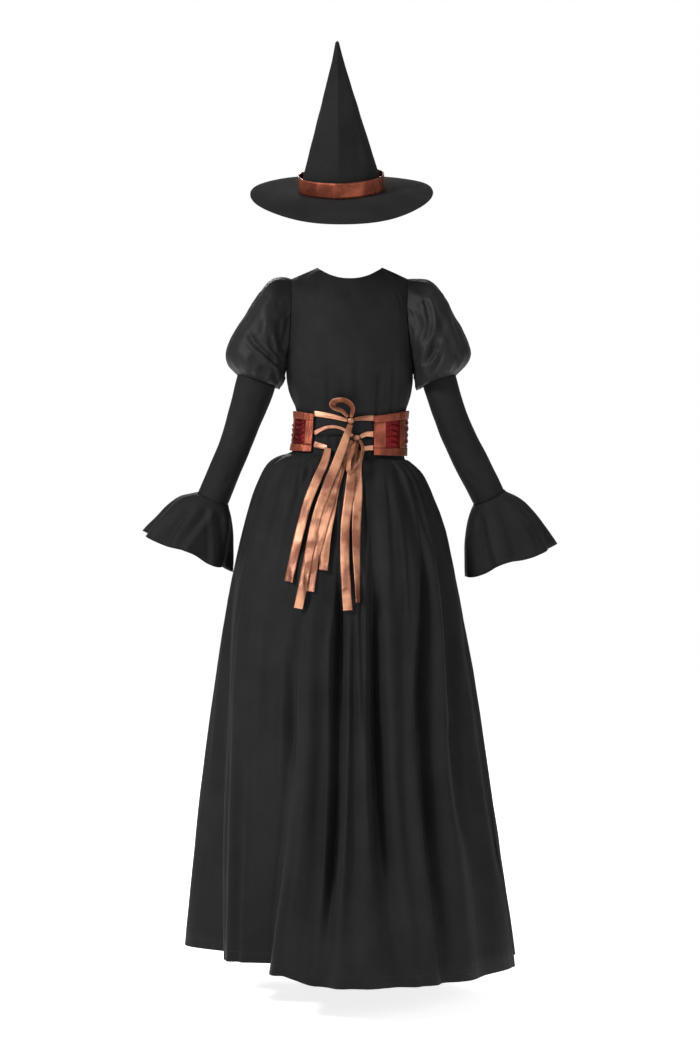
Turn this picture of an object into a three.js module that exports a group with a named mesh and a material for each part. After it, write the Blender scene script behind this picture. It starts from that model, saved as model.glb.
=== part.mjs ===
// Witch costume, kept in the shape it has when worn, with nobody in it: a pointed hat, a long dress with
// puffed sleeves, bell cuffs and a gathered skirt, and a laced waist cincher with a bow and long ribbon ends
// at the back. Millimetres. +Z is up, -Y is the wearer's front and +X the wearer's left. The origin is between
// the shoulders, level with the outer ends of the shoulder seams. "drop" is the distance below the origin.
import * as THREE from "three";

// Driving sizes.
const CLOTH = 1.4; // wall of the dress cloth
const SEAM = 0.3; // gap left between two pieces that are sewn together
const NECK_HALF = 70; // half width of the neck opening
const NECK_RISE = 16; // height of the shoulder seam's inner end above the origin
const SHOULDER_HALF = 125; // half width over the outer ends of the shoulder seams
const SHOULDER_DROP = 8; // the shoulder seam's outer end
const ARMHOLE_DROP = 222; // the underarm point
const ARMHOLE_DEPTH = 52; // half the armhole's depth, front to back
const WAIST_SEAM_DROP = 345; // bodice above, skirt below, under the cincher
const HEM_DROP = 1460;
const GATHERS = 28; // gathers round the waist
const BELT_STANDOFF = 2.6; // from the dress to the inside of the cincher's panels
const BELT_WALL = 1.4;
const TRIM_WALL = 1.2;
const TRIM_GAP = 0.45; // from the cincher's panels to the trims laid on them
const RIBBON_WALL = 1.0;
const RIBBON_WIDTH = 19;
const REST_WIDTH = 30; // a ribbon rests on the folds within this width

const clamp = THREE.MathUtils.clamp;
const lerp = THREE.MathUtils.lerp;
const ease = (low, high, value) => THREE.MathUtils.smoothstep(value, low, high);
const radians = THREE.MathUtils.degToRad;
const at = (x, y, drop) => new THREE.Vector3(x, y, -drop);

const black = new THREE.MeshStandardMaterial({ color: 0x1c1c1d, roughness: 0.85 });
const felt = new THREE.MeshStandardMaterial({ color: 0x1a1a1b, roughness: 0.95 });
const copper = new THREE.MeshStandardMaterial({ color: 0x9a5334, roughness: 0.35 });
const red = new THREE.MeshStandardMaterial({ color: 0x6e1216, roughness: 0.4 });

const costume = new THREE.Group();

function add(name, geometry, material, parent = costume) {
  const mesh = new THREE.Mesh(geometry, material);
  mesh.name = name;
  parent.add(mesh);
}

// One column of a table at a key, on a smooth curve through the rows that never overshoots them.
function read(table, key, value, column) {
  const last = table.length - 1;
  let k = 0;
  while (k < last - 1 && value > table[k + 1][key]) k++;
  const slope = (i) => (table[i + 1][column] - table[i][column]) / (table[i + 1][key] - table[i][key]);
  const tangent = (i) => {
    if (i === 0) return slope(0);
    if (i === last) return slope(last - 1);
    const product = slope(i - 1) * slope(i);
    return product <= 0 ? 0 : (2 * product) / (slope(i - 1) + slope(i));
  };
  const span = table[k + 1][key] - table[k][key];
  const t = clamp((value - table[k][key]) / span, 0, 1);
  const t2 = t * t;
  const t3 = t2 * t;
  return (
    (2 * t3 - 3 * t2 + 1) * table[k][column] +
    (t3 - 2 * t2 + t) * span * tangent(k) +
    (3 * t2 - 2 * t3) * table[k + 1][column] +
    (t3 - t2) * span * tangent(k + 1)
  );
}

// The outward normal of a surface of two shares, from points just beside the one asked for.
function normalAt(surface, u, v, side) {
  const step = 1e-4;
  const across = surface(u + step, v).sub(surface(u - step, v));
  const down = surface(u, Math.min(v + step, 1)).sub(surface(u, Math.max(v - step, 0)));
  return across.cross(down).normalize().multiplyScalar(side);
}

// A cloth wall: the outer face is the surface at the given shares, the inner face lies one wall inside it.
// shares are the columns and rows, round says that the last column joins the first, side turns the normal
// out, and square can straighten a normal where two pieces meet at a seam.
function wall(surface, { columns, rows, round = false, thickness = CLOTH, side = 1, square }) {
  const outer = [];
  const inner = [];
  for (const v of rows) {
    for (const u of columns) {
      const point = surface(u, v);
      const normal = normalAt(surface, u, v, side);
      if (square) square(normal, u, v);
      outer.push(point);
      inner.push(point.clone().addScaledVector(normal, -thickness));
    }
  }
  const wide = columns.length;
  const high = rows.length;
  const points = outer.concat(inner);
  const faces = [];
  const quad = (a, b, c, d) => faces.push(a, b, c, a, c, d);
  const inside = outer.length;
  const spans = round ? wide : wide - 1;
  for (let j = 0; j < high - 1; j++) {
    for (let i = 0; i < spans; i++) {
      const a = j * wide + i;
      const b = j * wide + ((i + 1) % wide);
      quad(a, b, b + wide, a + wide);
      quad(inside + a, inside + a + wide, inside + b + wide, inside + b);
    }
  }
  for (let i = 0; i < spans; i++) {
    const next = (i + 1) % wide;
    const foot = (high - 1) * wide;
    quad(i, inside + i, inside + next, next);
    quad(foot + i, foot + next, inside + foot + next, inside + foot + i);
  }
  if (!round) {
    for (let j = 0; j < high - 1; j++) {
      const a = j * wide;
      const b = a + wide - 1;
      quad(a, a + wide, inside + a + wide, inside + a);
      quad(b, inside + b, inside + b + wide, b + wide);
    }
  }
  return solid(points, faces);
}

// A geometry from points and triangles, turned so that its faces point out.
function solid(points, faces) {
  let volume = 0;
  const normal = new THREE.Vector3();
  for (let i = 0; i < faces.length; i += 3) {
    const [a, b, c] = [points[faces[i]], points[faces[i + 1]], points[faces[i + 2]]];
    volume += a.dot(normal.crossVectors(b, c));
  }
  if (volume < 0) {
    for (let i = 0; i < faces.length; i += 3) [faces[i], faces[i + 1]] = [faces[i + 1], faces[i]];
  }
  return new THREE.BufferGeometry().setFromPoints(points).setIndex(faces);
}

const evenly = (count, from = 0, to = 1) =>
  Array.from({ length: count + 1 }, (_, i) => lerp(from, to, i / count));
const roundly = (count) => Array.from({ length: count }, (_, i) => i / count);

// The dress's trunk, to the outside of the cloth. left and right are half widths, which are the armhole's
// edge above the underarm, and back and front are depths at the middle.
const TRUNK = [
  { drop: -46, left: 125, right: 123, back: 52, front: 50 },
  { drop: 8, left: 125, right: 123, back: 66, front: 66 },
  { drop: 70, left: 124, right: 121, back: 86, front: 88 },
  { drop: 140, left: 128, right: 125, back: 93, front: 108 },
  { drop: 222, left: 137, right: 135, back: 86, front: 121 },
  { drop: 255, left: 126, right: 130, back: 80, front: 112 },
  { drop: 281, left: 119, right: 124, back: 73, front: 101 },
  { drop: 293, left: 114.5, right: 119.5, back: 67, front: 95 },
  { drop: 345, left: 118, right: 117, back: 64, front: 92 },
  { drop: 392, left: 125.5, right: 115.5, back: 71, front: 97 },
];

const SHOULDER_ROUND = 70; // height over which the trunk rounds into the shoulder seam

const shoulderHeight = (x) =>
  NECK_RISE - ((Math.abs(x) - NECK_HALF) * (NECK_RISE + SHOULDER_DROP)) / (SHOULDER_HALF - NECK_HALF);

// How far the armhole's edge lies from the side plane at a drop.
function armholeDepth(drop) {
  const half = (ARMHOLE_DROP - SHOULDER_DROP) / 2;
  const share = (drop - SHOULDER_DROP - half) / half;
  return Math.abs(share) >= 1 ? 0 : ARMHOLE_DEPTH * Math.sqrt(1 - share * share);
}

// The trunk's surface. share runs from -1 at the wearer's right edge to 1 at the left, face is 1 at the back.
function trunk(share, drop, face) {
  const x = share * read(TRUNK, "drop", drop, share > 0 ? "left" : "right");
  const depth = read(TRUNK, "drop", drop, face > 0 ? "back" : "front");
  const edge = armholeDepth(drop);
  const arch = lerp(0.5, 0.8, ease(0, 80, ARMHOLE_DROP - drop)); // flatter between the armholes than below
  const below = clamp((shoulderHeight(x) + drop) / SHOULDER_ROUND, 0, 1);
  const closing = Math.sqrt(1 - (1 - below) * (1 - below));
  const bulge = closing * (depth - edge) * Math.pow(Math.max(0, 1 - share * share), arch);
  return at(x, face * (edge + bulge), drop);
}

// The bodice's top edge: the neckline, then the shoulder seam. scoop is the neckline's drop at the middle.
function topDrop(share, scoop, power) {
  const x = Math.abs(share) * SHOULDER_HALF;
  if (x >= NECK_HALF) return -shoulderHeight(x);
  return lerp(scoop, -NECK_RISE, Math.pow(x / NECK_HALF, power));
}

function bodice(face, scoop, power) {
  const shoulderShare = NECK_HALF / SHOULDER_HALF;
  const columns = [
    ...evenly(4, -1, -shoulderShare),
    ...evenly(10, -shoulderShare, shoulderShare).slice(1),
    ...evenly(4, shoulderShare, 1).slice(1),
  ];
  const surface = (u, v) => {
    const share = clamp(u, -1, 1);
    const top = topDrop(share, scoop, power);
    const drop = lerp(top, WAIST_SEAM_DROP, v);
    const point = trunk(share, drop, face);
    point.y += (face * SEAM) / 2;
    return point;
  };
  const onSeam = (normal, u, v) => {
    if (Math.abs(u) > 0.999 || (v < 0.001 && Math.abs(u) > shoulderShare)) {
      const point = surface(u, v);
      if (Math.abs(point.y) < 1) normal.setY(0).normalize();
    }
  };
  const rows = [0, 0.03, 0.08, 0.16, 0.28, 0.42, 0.56, 0.68, 0.78, 0.85, 1];
  return wall(surface, { columns, rows, side: face, square: onSeam });
}

add("bodice_back", bodice(1, 13, 2.2), black);
add("bodice_front", bodice(-1, 72, 4), black);

// The skirt without its folds: half widths and depths at each drop.
const SKIRT = [
  { drop: 345, left: 118, right: 117, back: 64, front: 92 },
  { drop: 383, left: 124, right: 116.5, back: 69.5, front: 96.5 },
  { drop: 389, left: 139, right: 122, back: 82, front: 105 },
  { drop: 399, left: 164, right: 134, back: 98, front: 114 },
  { drop: 421, left: 184, right: 155, back: 120, front: 126 },
  { drop: 460, left: 203, right: 173, back: 143, front: 138 },
  { drop: 544, left: 229, right: 203, back: 172, front: 156 },
  { drop: 636, left: 250, right: 225, back: 194, front: 172 },
  { drop: 766, left: 274, right: 251, back: 218, front: 190 },
  { drop: 949, left: 300, right: 284, back: 247, front: 212 },
  { drop: 1117, left: 322, right: 309, back: 268, front: 228 },
  { drop: 1307, left: 341, right: 335, back: 288, front: 244 },
  { drop: 1460, left: 355, right: 354, back: 302, front: 256 },
];

// The cincher's edges, at an angle from the middle of the back. The skirt springs out just below the lower
// one, which is higher on the wearer's left, because the hip tilts.
const BELT_EDGE = { top: 290, topDip: 16, bottom: 381, tilt: 6, backDip: 3 };

function beltTop(angle) {
  const behind = Math.max(0, Math.cos(radians(angle)));
  return BELT_EDGE.top + BELT_EDGE.topDip * behind * behind;
}

function beltBottom(angle) {
  const turn = radians(angle);
  return BELT_EDGE.bottom - BELT_EDGE.tilt * Math.sin(turn) + BELT_EDGE.backDip * Math.cos(turn);
}

// How far the skirt's levels lie below their drops in the tables, to follow the cincher's lower edge.
const SHIFT = { full: 380, fades: 400, gone: 520 };

function levelShift(angle, level) {
  const fading = ease(WAIST_SEAM_DROP, SHIFT.full, level) * (1 - ease(SHIFT.fades, SHIFT.gone, level));
  return (beltBottom(angle) - BELT_EDGE.bottom) * fading;
}

// The fold lines, ridge and valley in turn, round from the wearer's left by the front to the right and the
// back. Each has its angle from the middle of the back in degrees, and how far it stands out of the skirt.
const FOLD_HEIGHTS = { waist: 400, hip: 600, knee: 1000, hem: 1460 };
const FOLDS = [
  { hip: 92, knee: 96, hem: 100, hipOut: 0, kneeOut: 2, hemOut: 6 },
  { hip: 108, knee: 111, hem: 113, hipOut: -5, kneeOut: -24, hemOut: -34 },
  { hip: 118, knee: 123, hem: 126, hipOut: 2, kneeOut: 4, hemOut: 10 },
  { hip: 130, knee: 134, hem: 137, hipOut: -8, kneeOut: -30, hemOut: -22 },
  { hip: 141, knee: 145, hem: 149, hipOut: 0, kneeOut: 6, hemOut: 8 },
  { hip: 152, knee: 155, hem: 160, hipOut: -10, kneeOut: -24, hemOut: -16 },
  { hip: 163, knee: 165, hem: 170, hipOut: 3, kneeOut: 6, hemOut: 6 },
  { hip: 173, knee: 176, hem: 181, hipOut: -7, kneeOut: -32, hemOut: -26 },
  { hip: 184, knee: 187, hem: 192, hipOut: 0, kneeOut: 4, hemOut: 10 },
  { hip: 195, knee: 198, hem: 203, hipOut: -11, kneeOut: -28, hemOut: -14 },
  { hip: 206, knee: 209, hem: 214, hipOut: 2, kneeOut: 6, hemOut: 6 },
  { hip: 217, knee: 221, hem: 226, hipOut: -6, kneeOut: -34, hemOut: -24 },
  { hip: 229, knee: 233, hem: 237, hipOut: 0, kneeOut: 5, hemOut: 10 },
  { hip: 240, knee: 245, hem: 248, hipOut: -9, kneeOut: -26, hemOut: -18 },
  { hip: 252, knee: 257, hem: 260, hipOut: 2, kneeOut: 4, hemOut: 8 },
  { hip: 266, knee: 271, hem: 273, hipOut: -6, kneeOut: -24, hemOut: -26 },
  { hip: 284, knee: 288, hem: 286, hipOut: 2, kneeOut: 4, hemOut: 6 },
  { hip: 300, knee: 306, hem: 306, hipOut: -8, kneeOut: -26, hemOut: -8 },
  { hip: 308, knee: 318, hem: 317, hipOut: 2, kneeOut: 6, hemOut: 4 },
  { hip: 315, knee: 328, hem: 327, hipOut: -14, kneeOut: -36, hemOut: -10 },
  { hip: 324, knee: 334, hem: 331, hipOut: 0, kneeOut: 2, hemOut: 4 },
  { hip: 332, knee: 338, hem: 335, hipOut: -7, kneeOut: -5, hemOut: 0 },
  { hip: 339, knee: 342, hem: 338, hipOut: 2, kneeOut: 4, hemOut: 2 },
  { hip: 347, knee: 348, hem: 343, hipOut: -12, kneeOut: -34, hemOut: -8 },
  { hip: 354, knee: 355, hem: 355, hipOut: 3, kneeOut: 6, hemOut: 2 },
  { hip: 358, knee: 359, hem: 359, hipOut: -8, kneeOut: -12, hemOut: -3 },
  { hip: 362, knee: 363.5, hem: 363, hipOut: 0, kneeOut: 0, hemOut: 0 },
  { hip: 366, knee: 368.5, hem: 369.5, hipOut: -8, kneeOut: -34, hemOut: -18 },
  { hip: 378, knee: 377, hem: 387, hipOut: 0, kneeOut: 4, hemOut: -8 },
  { hip: 393, knee: 387, hem: 396, hipOut: -4, kneeOut: -38, hemOut: -100 },
  { hip: 426, knee: 420, hem: 420, hipOut: 0, kneeOut: -16, hemOut: -54 },
  { hip: 438, knee: 433, hem: 435, hipOut: -3, kneeOut: -42, hemOut: -100 },
];
// The hem rides up a little on the wearer's left, where the deep folds are.
const HEM_LIFT = { height: 20, from: 385, to: 470, fade: 14, startDrop: 1000 };

// A fold line's angle or standing at a drop.
function foldAt(fold, drop, column) {
  const { waist, hip, knee, hem } = FOLD_HEIGHTS;
  const out = column === "out";
  const rows = [
    { drop: waist, value: out ? 0 : fold.hip },
    { drop: hip, value: out ? fold.hipOut : fold.hip },
    { drop: knee, value: out ? fold.kneeOut : fold.knee },
    { drop: hem, value: out ? fold.hemOut : fold.hem },
  ];
  return read(rows, "drop", clamp(drop, waist, hem), "value");
}

// A point of the plain skirt moved out along its own normal.
function skirtPoint(angle, level, out) {
  const turn = radians(angle);
  const [sine, cosine] = [Math.sin(turn), Math.cos(turn)];
  const wide = read(SKIRT, "drop", level, sine > 0 ? "left" : "right");
  const deep = read(SKIRT, "drop", level, cosine > 0 ? "back" : "front");
  const normal = new THREE.Vector2(sine / wide, cosine / deep).normalize();
  return at(wide * sine + normal.x * out, deep * cosine + normal.y * out, level + levelShift(angle, level));
}

// Each fold line's share of the hem's length, so that the cloth is even round the hem.
const foldShares = (() => {
  const corners = FOLDS.map((fold) => skirtPoint(fold.hem, HEM_DROP, fold.hemOut));
  const shares = [0];
  corners.forEach((corner, i) => {
    shares.push(shares[i] + corner.distanceTo(corners[(i + 1) % corners.length]));
  });
  return shares.map((share) => share / shares[corners.length]);
})();

// How far the gathers stand at each drop. They press in further than they stand out, by the shift.
const GATHER_SHIFT = 0.7;
const GATHER_DEPTH = [
  { drop: 345, depth: 0.7 },
  { drop: 383, depth: 0.9 },
  { drop: 395, depth: 3.6 },
  { drop: 430, depth: 5 },
  { drop: 520, depth: 4 },
  { drop: 640, depth: 1.6 },
  { drop: 780, depth: 0 },
];

// The skirt's cloth. share runs once round the hem from the wearer's left side, by the front and the right.
function skirt(share, drop) {
  const u = THREE.MathUtils.euclideanModulo(share, 1);
  let k = 0;
  while (k < FOLDS.length - 1 && u >= foldShares[k + 1]) k++;
  const t = (u - foldShares[k]) / (foldShares[k + 1] - foldShares[k]);
  const next = FOLDS[(k + 1) % FOLDS.length];
  const turnOver = k === FOLDS.length - 1 ? 360 : 0;
  const angle = lerp(foldAt(FOLDS[k], drop, "angle"), foldAt(next, drop, "angle") + turnOver, t);
  const swing = (1 - Math.cos(Math.PI * t)) / 2;
  let out = lerp(foldAt(FOLDS[k], drop, "out"), foldAt(next, drop, "out"), swing);
  const uneven = 0.8 + 0.25 * Math.sin(2 * Math.PI * 5 * u + 1); // five swells of deeper gathers
  const lowest = GATHER_DEPTH[GATHER_DEPTH.length - 1].drop;
  const depth = read(GATHER_DEPTH, "drop", Math.min(drop, lowest), "depth");
  out += depth * uneven * (Math.cos(2 * Math.PI * GATHERS * u) - GATHER_SHIFT);
  const round = angle < 180 ? angle + 360 : angle;
  const rising = ease(HEM_LIFT.from - HEM_LIFT.fade, HEM_LIFT.from, round);
  const lifted = rising * (1 - ease(HEM_LIFT.to, HEM_LIFT.to + HEM_LIFT.fade, round));
  const point = skirtPoint(angle, drop, out);
  point.z += HEM_LIFT.height * lifted * ease(HEM_LIFT.startDrop, HEM_DROP, drop);
  return point;
}

const SKIRT_ROWS = [345.3, 383, 389, 399, 419, 458, 525, 625, 760, 930, 1110, 1290, 1460];
// Side seams, as shares of the hem: the wearer's left and right sides.
const LEFT_SIDE = 0;
const RIGHT_SIDE_FOLD = 16;
const RIGHT_SIDE = foldShares[RIGHT_SIDE_FOLD];

// Half the seam's gap, as a share of the hem, beside a side seam.
function seamShare(share, drop) {
  const reach = 0.002;
  const length = skirt(share - reach, drop).distanceTo(skirt(share + reach, drop));
  return (0.9 * SEAM * 2 * reach) / length;
}

function skirtPanel(from, to, count) {
  const surface = (u, v) => {
    const drop = lerp(SKIRT_ROWS[0], HEM_DROP, v);
    return skirt(lerp(from + seamShare(from, drop), to - seamShare(to, drop), u), drop);
  };
  const rows = SKIRT_ROWS.map((drop) => (drop - SKIRT_ROWS[0]) / (HEM_DROP - SKIRT_ROWS[0]));
  return wall(surface, { columns: evenly(count), rows, side: 1 });
}

add("skirt_front", skirtPanel(LEFT_SIDE, RIGHT_SIDE, 52), black);
add("skirt_back", skirtPanel(RIGHT_SIDE, 1, 62), black);

// The fitted lower sleeves: the middle of each section from the puff's seam to the wrist, and its radius.
const SLEEVES = {
  left: [
    { along: 0, x: 200, y: 0, drop: 226, radius: 43 },
    { along: 0.34, x: 227, y: 3, drop: 312, radius: 37 },
    { along: 0.63, x: 255.5, y: -2, drop: 387, radius: 33.5 },
    { along: 1, x: 295.5, y: -16, drop: 481, radius: 34.5 },
  ],
  right: [
    { along: 0, x: 191, y: 0, drop: 225, radius: 37 },
    { along: 0.34, x: 218, y: 4, drop: 312, radius: 35 },
    { along: 0.63, x: 253, y: 2, drop: 387, radius: 37 },
    { along: 1, x: 299.5, y: -14, drop: 478, radius: 35.5 },
  ],
};
// The puffed upper sleeves between the armhole and the lower sleeve: where each section's outer and inner
// edge lies, and half its depth.
const PUFFS = {
  left: [
    { along: 0.14, outX: 147, outDrop: 4, inX: 142, inDrop: 229, depth: 66 },
    { along: 0.32, outX: 174, outDrop: 14, inX: 145, inDrop: 233, depth: 83 },
    { along: 0.5, outX: 208, outDrop: 57, inX: 147, inDrop: 236, depth: 91 },
    { along: 0.66, outX: 242, outDrop: 117, inX: 149, inDrop: 239, depth: 90 },
    { along: 0.79, outX: 263, outDrop: 156, inX: 151, inDrop: 242, depth: 82 },
    { along: 0.9, outX: 265, outDrop: 190, inX: 153, inDrop: 244, depth: 67 },
  ],
  right: [
    { along: 0.14, outX: 145, outDrop: 8, inX: 139, inDrop: 230, depth: 66 },
    { along: 0.32, outX: 172, outDrop: 13, inX: 139.5, inDrop: 235, depth: 83 },
    { along: 0.5, outX: 203, outDrop: 46, inX: 140, inDrop: 239, depth: 91 },
    { along: 0.66, outX: 232, outDrop: 106, inX: 141, inDrop: 243, depth: 90 },
    { along: 0.79, outX: 254, outDrop: 150, inX: 143, inDrop: 245, depth: 81 },
    { along: 0.9, outX: 257, outDrop: 186, inX: 147, inDrop: 245, depth: 63 },
  ],
};
// The deep creases of each puff: the two ends of each, as turns round from the outer edge by the back and
// shares of the length, then depth and half width.
const PUFF_CREASES = {
  left: [
    { fromTurn: 0.04, fromAlong: 0.5, toTurn: 0.42, toAlong: 0.9, depth: 13, spread: 0.045 },
    { fromTurn: 0.24, fromAlong: 0.42, toTurn: 0.42, toAlong: 0.76, depth: 10, spread: 0.04 },
    { fromTurn: 0.3, fromAlong: 0.02, toTurn: 0.2, toAlong: 0.34, depth: 8, spread: 0.035 },
    { fromTurn: 0.7, fromAlong: 0.1, toTurn: 0.74, toAlong: 0.62, depth: 9, spread: 0.045 },
    { fromTurn: 0.86, fromAlong: 0.3, toTurn: 0.62, toAlong: 0.86, depth: 11, spread: 0.045 },
  ],
  right: [
    { fromTurn: 0.2, fromAlong: 0.08, toTurn: 0.27, toAlong: 0.66, depth: 9, spread: 0.035 },
    { fromTurn: 0.11, fromAlong: 0.22, toTurn: 0.3, toAlong: 0.84, depth: 12, spread: 0.045 },
    { fromTurn: 0.12, fromAlong: 0.66, toTurn: 0.22, toAlong: 0.92, depth: 9, spread: 0.035 },
    { fromTurn: 0.72, fromAlong: 0.1, toTurn: 0.76, toAlong: 0.66, depth: 10, spread: 0.045 },
    { fromTurn: 0.88, fromAlong: 0.26, toTurn: 0.66, toAlong: 0.84, depth: 11, spread: 0.045 },
  ],
};
const PUFF_GATHERS = { count: 14, height: 2.6 };
const PUFF_MIDDLE = { x: 185, drop: 140 };
// A crease's bend, how much its width stretches along the arm, and the share of its depth left at its ends.
const CREASE = { bow: 0.04, lengthwise: 0.6, endDepth: 0.35 };
// The bell cuffs: each section's outer and inner edge below the wrist, and half its depth.
const CUFFS = {
  left: [
    { along: 0.1, outX: 345, outDrop: 467, inX: 258, inDrop: 507, depth: 43 },
    { along: 0.32, outX: 376, outDrop: 479, inX: 254, inDrop: 530, depth: 58 },
    { along: 0.55, outX: 405, outDrop: 507, inX: 254, inDrop: 564, depth: 70 },
    { along: 0.8, outX: 428, outDrop: 533, inX: 256, inDrop: 601, depth: 80 },
    { along: 1, outX: 444, outDrop: 553, inX: 259, inDrop: 631, depth: 87 },
  ],
  right: [
    { along: 0.1, outX: 341, outDrop: 466, inX: 262, inDrop: 498, depth: 43 },
    { along: 0.32, outX: 370, outDrop: 482, inX: 252, inDrop: 525, depth: 58 },
    { along: 0.55, outX: 399, outDrop: 513, inX: 246, inDrop: 560, depth: 70 },
    { along: 0.8, outX: 424, outDrop: 549, inX: 246, inDrop: 606, depth: 80 },
    { along: 1, outX: 443, outDrop: 579, inX: 248, inDrop: 648, depth: 87 },
  ],
};
const CUFF_WAVES = { count: 7, height: 9, shift: { left: 0.25, right: 0 } };
const CUFF_FORWARD = 18; // how far the cuff's opening hangs in front of the wrist
const LAP = 3; // how far a sleeve runs up inside the puff, and down inside its cuff's top edge

// A section of a lower sleeve: its middle, its two directions and its radius. It can run past both ends.
function sleeveSection(sign, table, share) {
  const inside = clamp(share, 0, 1);
  const middle = (s) =>
    new THREE.Vector3(
      sign * read(table, "along", s, "x"),
      read(table, "along", s, "y"),
      -read(table, "along", s, "drop"),
    );
  const step = 0.01;
  const ahead = middle(Math.min(inside + step, 1)).sub(middle(Math.max(inside - step, 0))).normalize();
  const back = new THREE.Vector3(0, 1, 0).addScaledVector(ahead, -ahead.y).normalize();
  const out = new THREE.Vector3().crossVectors(ahead, back).multiplyScalar(sign);
  if (out.x * sign < 0) out.negate();
  const length = middle(0).distanceTo(middle(1));
  const middlePoint = middle(inside).addScaledVector(ahead, (share - inside) * length);
  return { middle: middlePoint, ahead, back, out, length, radius: read(table, "along", inside, "radius") };
}

function sleevePoint(section, turn, radius) {
  const angle = 2 * Math.PI * turn;
  return section.middle
    .clone()
    .addScaledVector(section.out, radius * Math.cos(angle))
    .addScaledVector(section.back, radius * Math.sin(angle));
}

// A ring between an outer and an inner edge point, which lies across the garment's side plane.
function edgeRing(sign, row, turn, y) {
  const angle = 2 * Math.PI * turn;
  const outer = at(sign * row.outX, y, row.outDrop);
  const inner = at(sign * row.inX, y, row.inDrop);
  const middle = outer.clone().add(inner).multiplyScalar(0.5);
  const half = outer.sub(inner).multiplyScalar(0.5);
  const point = middle.addScaledVector(half, Math.cos(angle));
  point.y += row.depth * Math.sin(angle);
  return point;
}

// A tube through rings given as functions of the turn, smooth from each to the next.
function throughRings(rings, share, turn) {
  const rows = rings.map((ring) => {
    const point = ring.point(turn);
    return { along: ring.along, x: point.x, y: point.y, z: point.z };
  });
  const value = clamp(share, 0, 1);
  return new THREE.Vector3(
    read(rows, "along", value, "x"),
    read(rows, "along", value, "y"),
    read(rows, "along", value, "z"),
  );
}

// How deep the creases press a puff in at one place.
function creasing(creases, turn, share) {
  let pressed = 0;
  for (const crease of creases) {
    const [du, dv] = [crease.toTurn - crease.fromTurn, crease.toAlong - crease.fromAlong];
    const [past, along] = [turn - crease.fromTurn, share - crease.fromAlong];
    const t = clamp((past * du + along * dv) / (du * du + dv * dv), 0, 1);
    const arc = Math.sin(Math.PI * t);
    const away = Math.hypot(past - du * t - CREASE.bow * arc, (along - dv * t) * CREASE.lengthwise);
    const depth = crease.depth * lerp(CREASE.endDepth, 1, arc);
    pressed += depth * Math.exp(-Math.pow(away / crease.spread, 2));
  }
  return pressed;
}

function puffSurface(name, sign) {
  const table = SLEEVES[name];
  const section = sleeveSection(sign, table, 0);
  const armhole = {
    along: 0,
    point: (turn) => {
      const angle = 2 * Math.PI * turn;
      const half = (ARMHOLE_DROP - SHOULDER_DROP) / 2;
      const drop = SHOULDER_DROP + half - half * Math.cos(angle);
      const x = read(TRUNK, "drop", drop, name) + 4 * SEAM;
      return at(sign * x, ARMHOLE_DEPTH * Math.sin(angle), drop);
    },
  };
  const body = PUFFS[name].map((row) => ({
    along: row.along,
    point: (turn) => edgeRing(sign, row, turn, 0),
  }));
  const band = { along: 1, point: (turn) => sleevePoint(section, turn, section.radius + CLOTH + SEAM) };
  const rings = [armhole, ...body, band];
  const middle = at(sign * PUFF_MIDDLE.x, 0, PUFF_MIDDLE.drop);
  return (turn, share) => {
    const u = THREE.MathUtils.euclideanModulo(turn, 1);
    const point = throughRings(rings, share, u);
    const swell = Math.sin(Math.PI * clamp(share, 0, 1));
    const standing = PUFF_GATHERS.height * Math.pow(swell, 0.6) * (1 - 0.6 * swell); // most near the seams
    const gathers = standing * Math.cos(2 * Math.PI * PUFF_GATHERS.count * turn);
    const pressed = creasing(PUFF_CREASES[name], u, share) * Math.sqrt(swell);
    const inward = middle.clone().sub(point).normalize();
    return point.addScaledVector(inward, pressed - gathers);
  };
}

function cuffSurface(name, sign) {
  const section = sleeveSection(sign, SLEEVES[name], 1);
  const start = sleeveSection(sign, SLEEVES[name], 1 - LAP / section.length);
  const wrist = { along: 0, point: (turn) => sleevePoint(start, turn, start.radius + CLOTH + SEAM) };
  const body = CUFFS[name].map((row) => ({
    along: row.along,
    point: (turn) => edgeRing(sign, row, turn, section.middle.y - CUFF_FORWARD * row.along),
  }));
  const rings = [wrist, ...body];
  return (turn, share) => {
    const u = THREE.MathUtils.euclideanModulo(turn, 1);
    const point = throughRings(rings, share, u);
    const centre = throughRings(rings, share, 0).add(throughRings(rings, share, 0.5)).multiplyScalar(0.5);
    const outward = point.clone().sub(centre).normalize();
    const uneven = 0.8 + 0.3 * Math.sin(2 * Math.PI * 2 * u + sign); // two swells of deeper waves
    const height = CUFF_WAVES.height * Math.pow(clamp(share, 0, 1), 1.3) * uneven;
    const wave = height * Math.cos(2 * Math.PI * (CUFF_WAVES.count * u + CUFF_WAVES.shift[name]));
    return point.addScaledVector(outward, wave);
  };
}

for (const [name, sign] of [["left", 1], ["right", -1]]) {
  const table = SLEEVES[name];
  const sleeve = (turn, share) => {
    const section = sleeveSection(sign, table, share);
    return sleevePoint(section, turn, section.radius);
  };
  const length = sleeveSection(sign, table, 0).length;
  const sleeveRows = [-LAP / length, 0.22, 0.48, 0.74, 1];
  const stretch = (rows) => (turn, v) => sleeve(turn, lerp(rows[0], 1, v));
  add(
    "puff_" + name,
    wall(puffSurface(name, sign), {
      columns: roundly(28), rows: [0, 0.09, 0.2, 0.33, 0.47, 0.61, 0.74, 0.87, 1],
      round: true, side: -sign,
    }),
    black,
  );
  add(
    "sleeve_" + name,
    wall(stretch(sleeveRows), {
      columns: roundly(16), rows: sleeveRows.map((s) => (s - sleeveRows[0]) / (1 - sleeveRows[0])),
      round: true, side: -sign,
    }),
    black,
  );
  add(
    "cuff_" + name,
    wall(cuffSurface(name, sign), {
      columns: roundly(35), rows: [0, 0.1, 0.32, 0.64, 1], round: true, side: -sign,
    }),
    black,
  );
}

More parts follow.
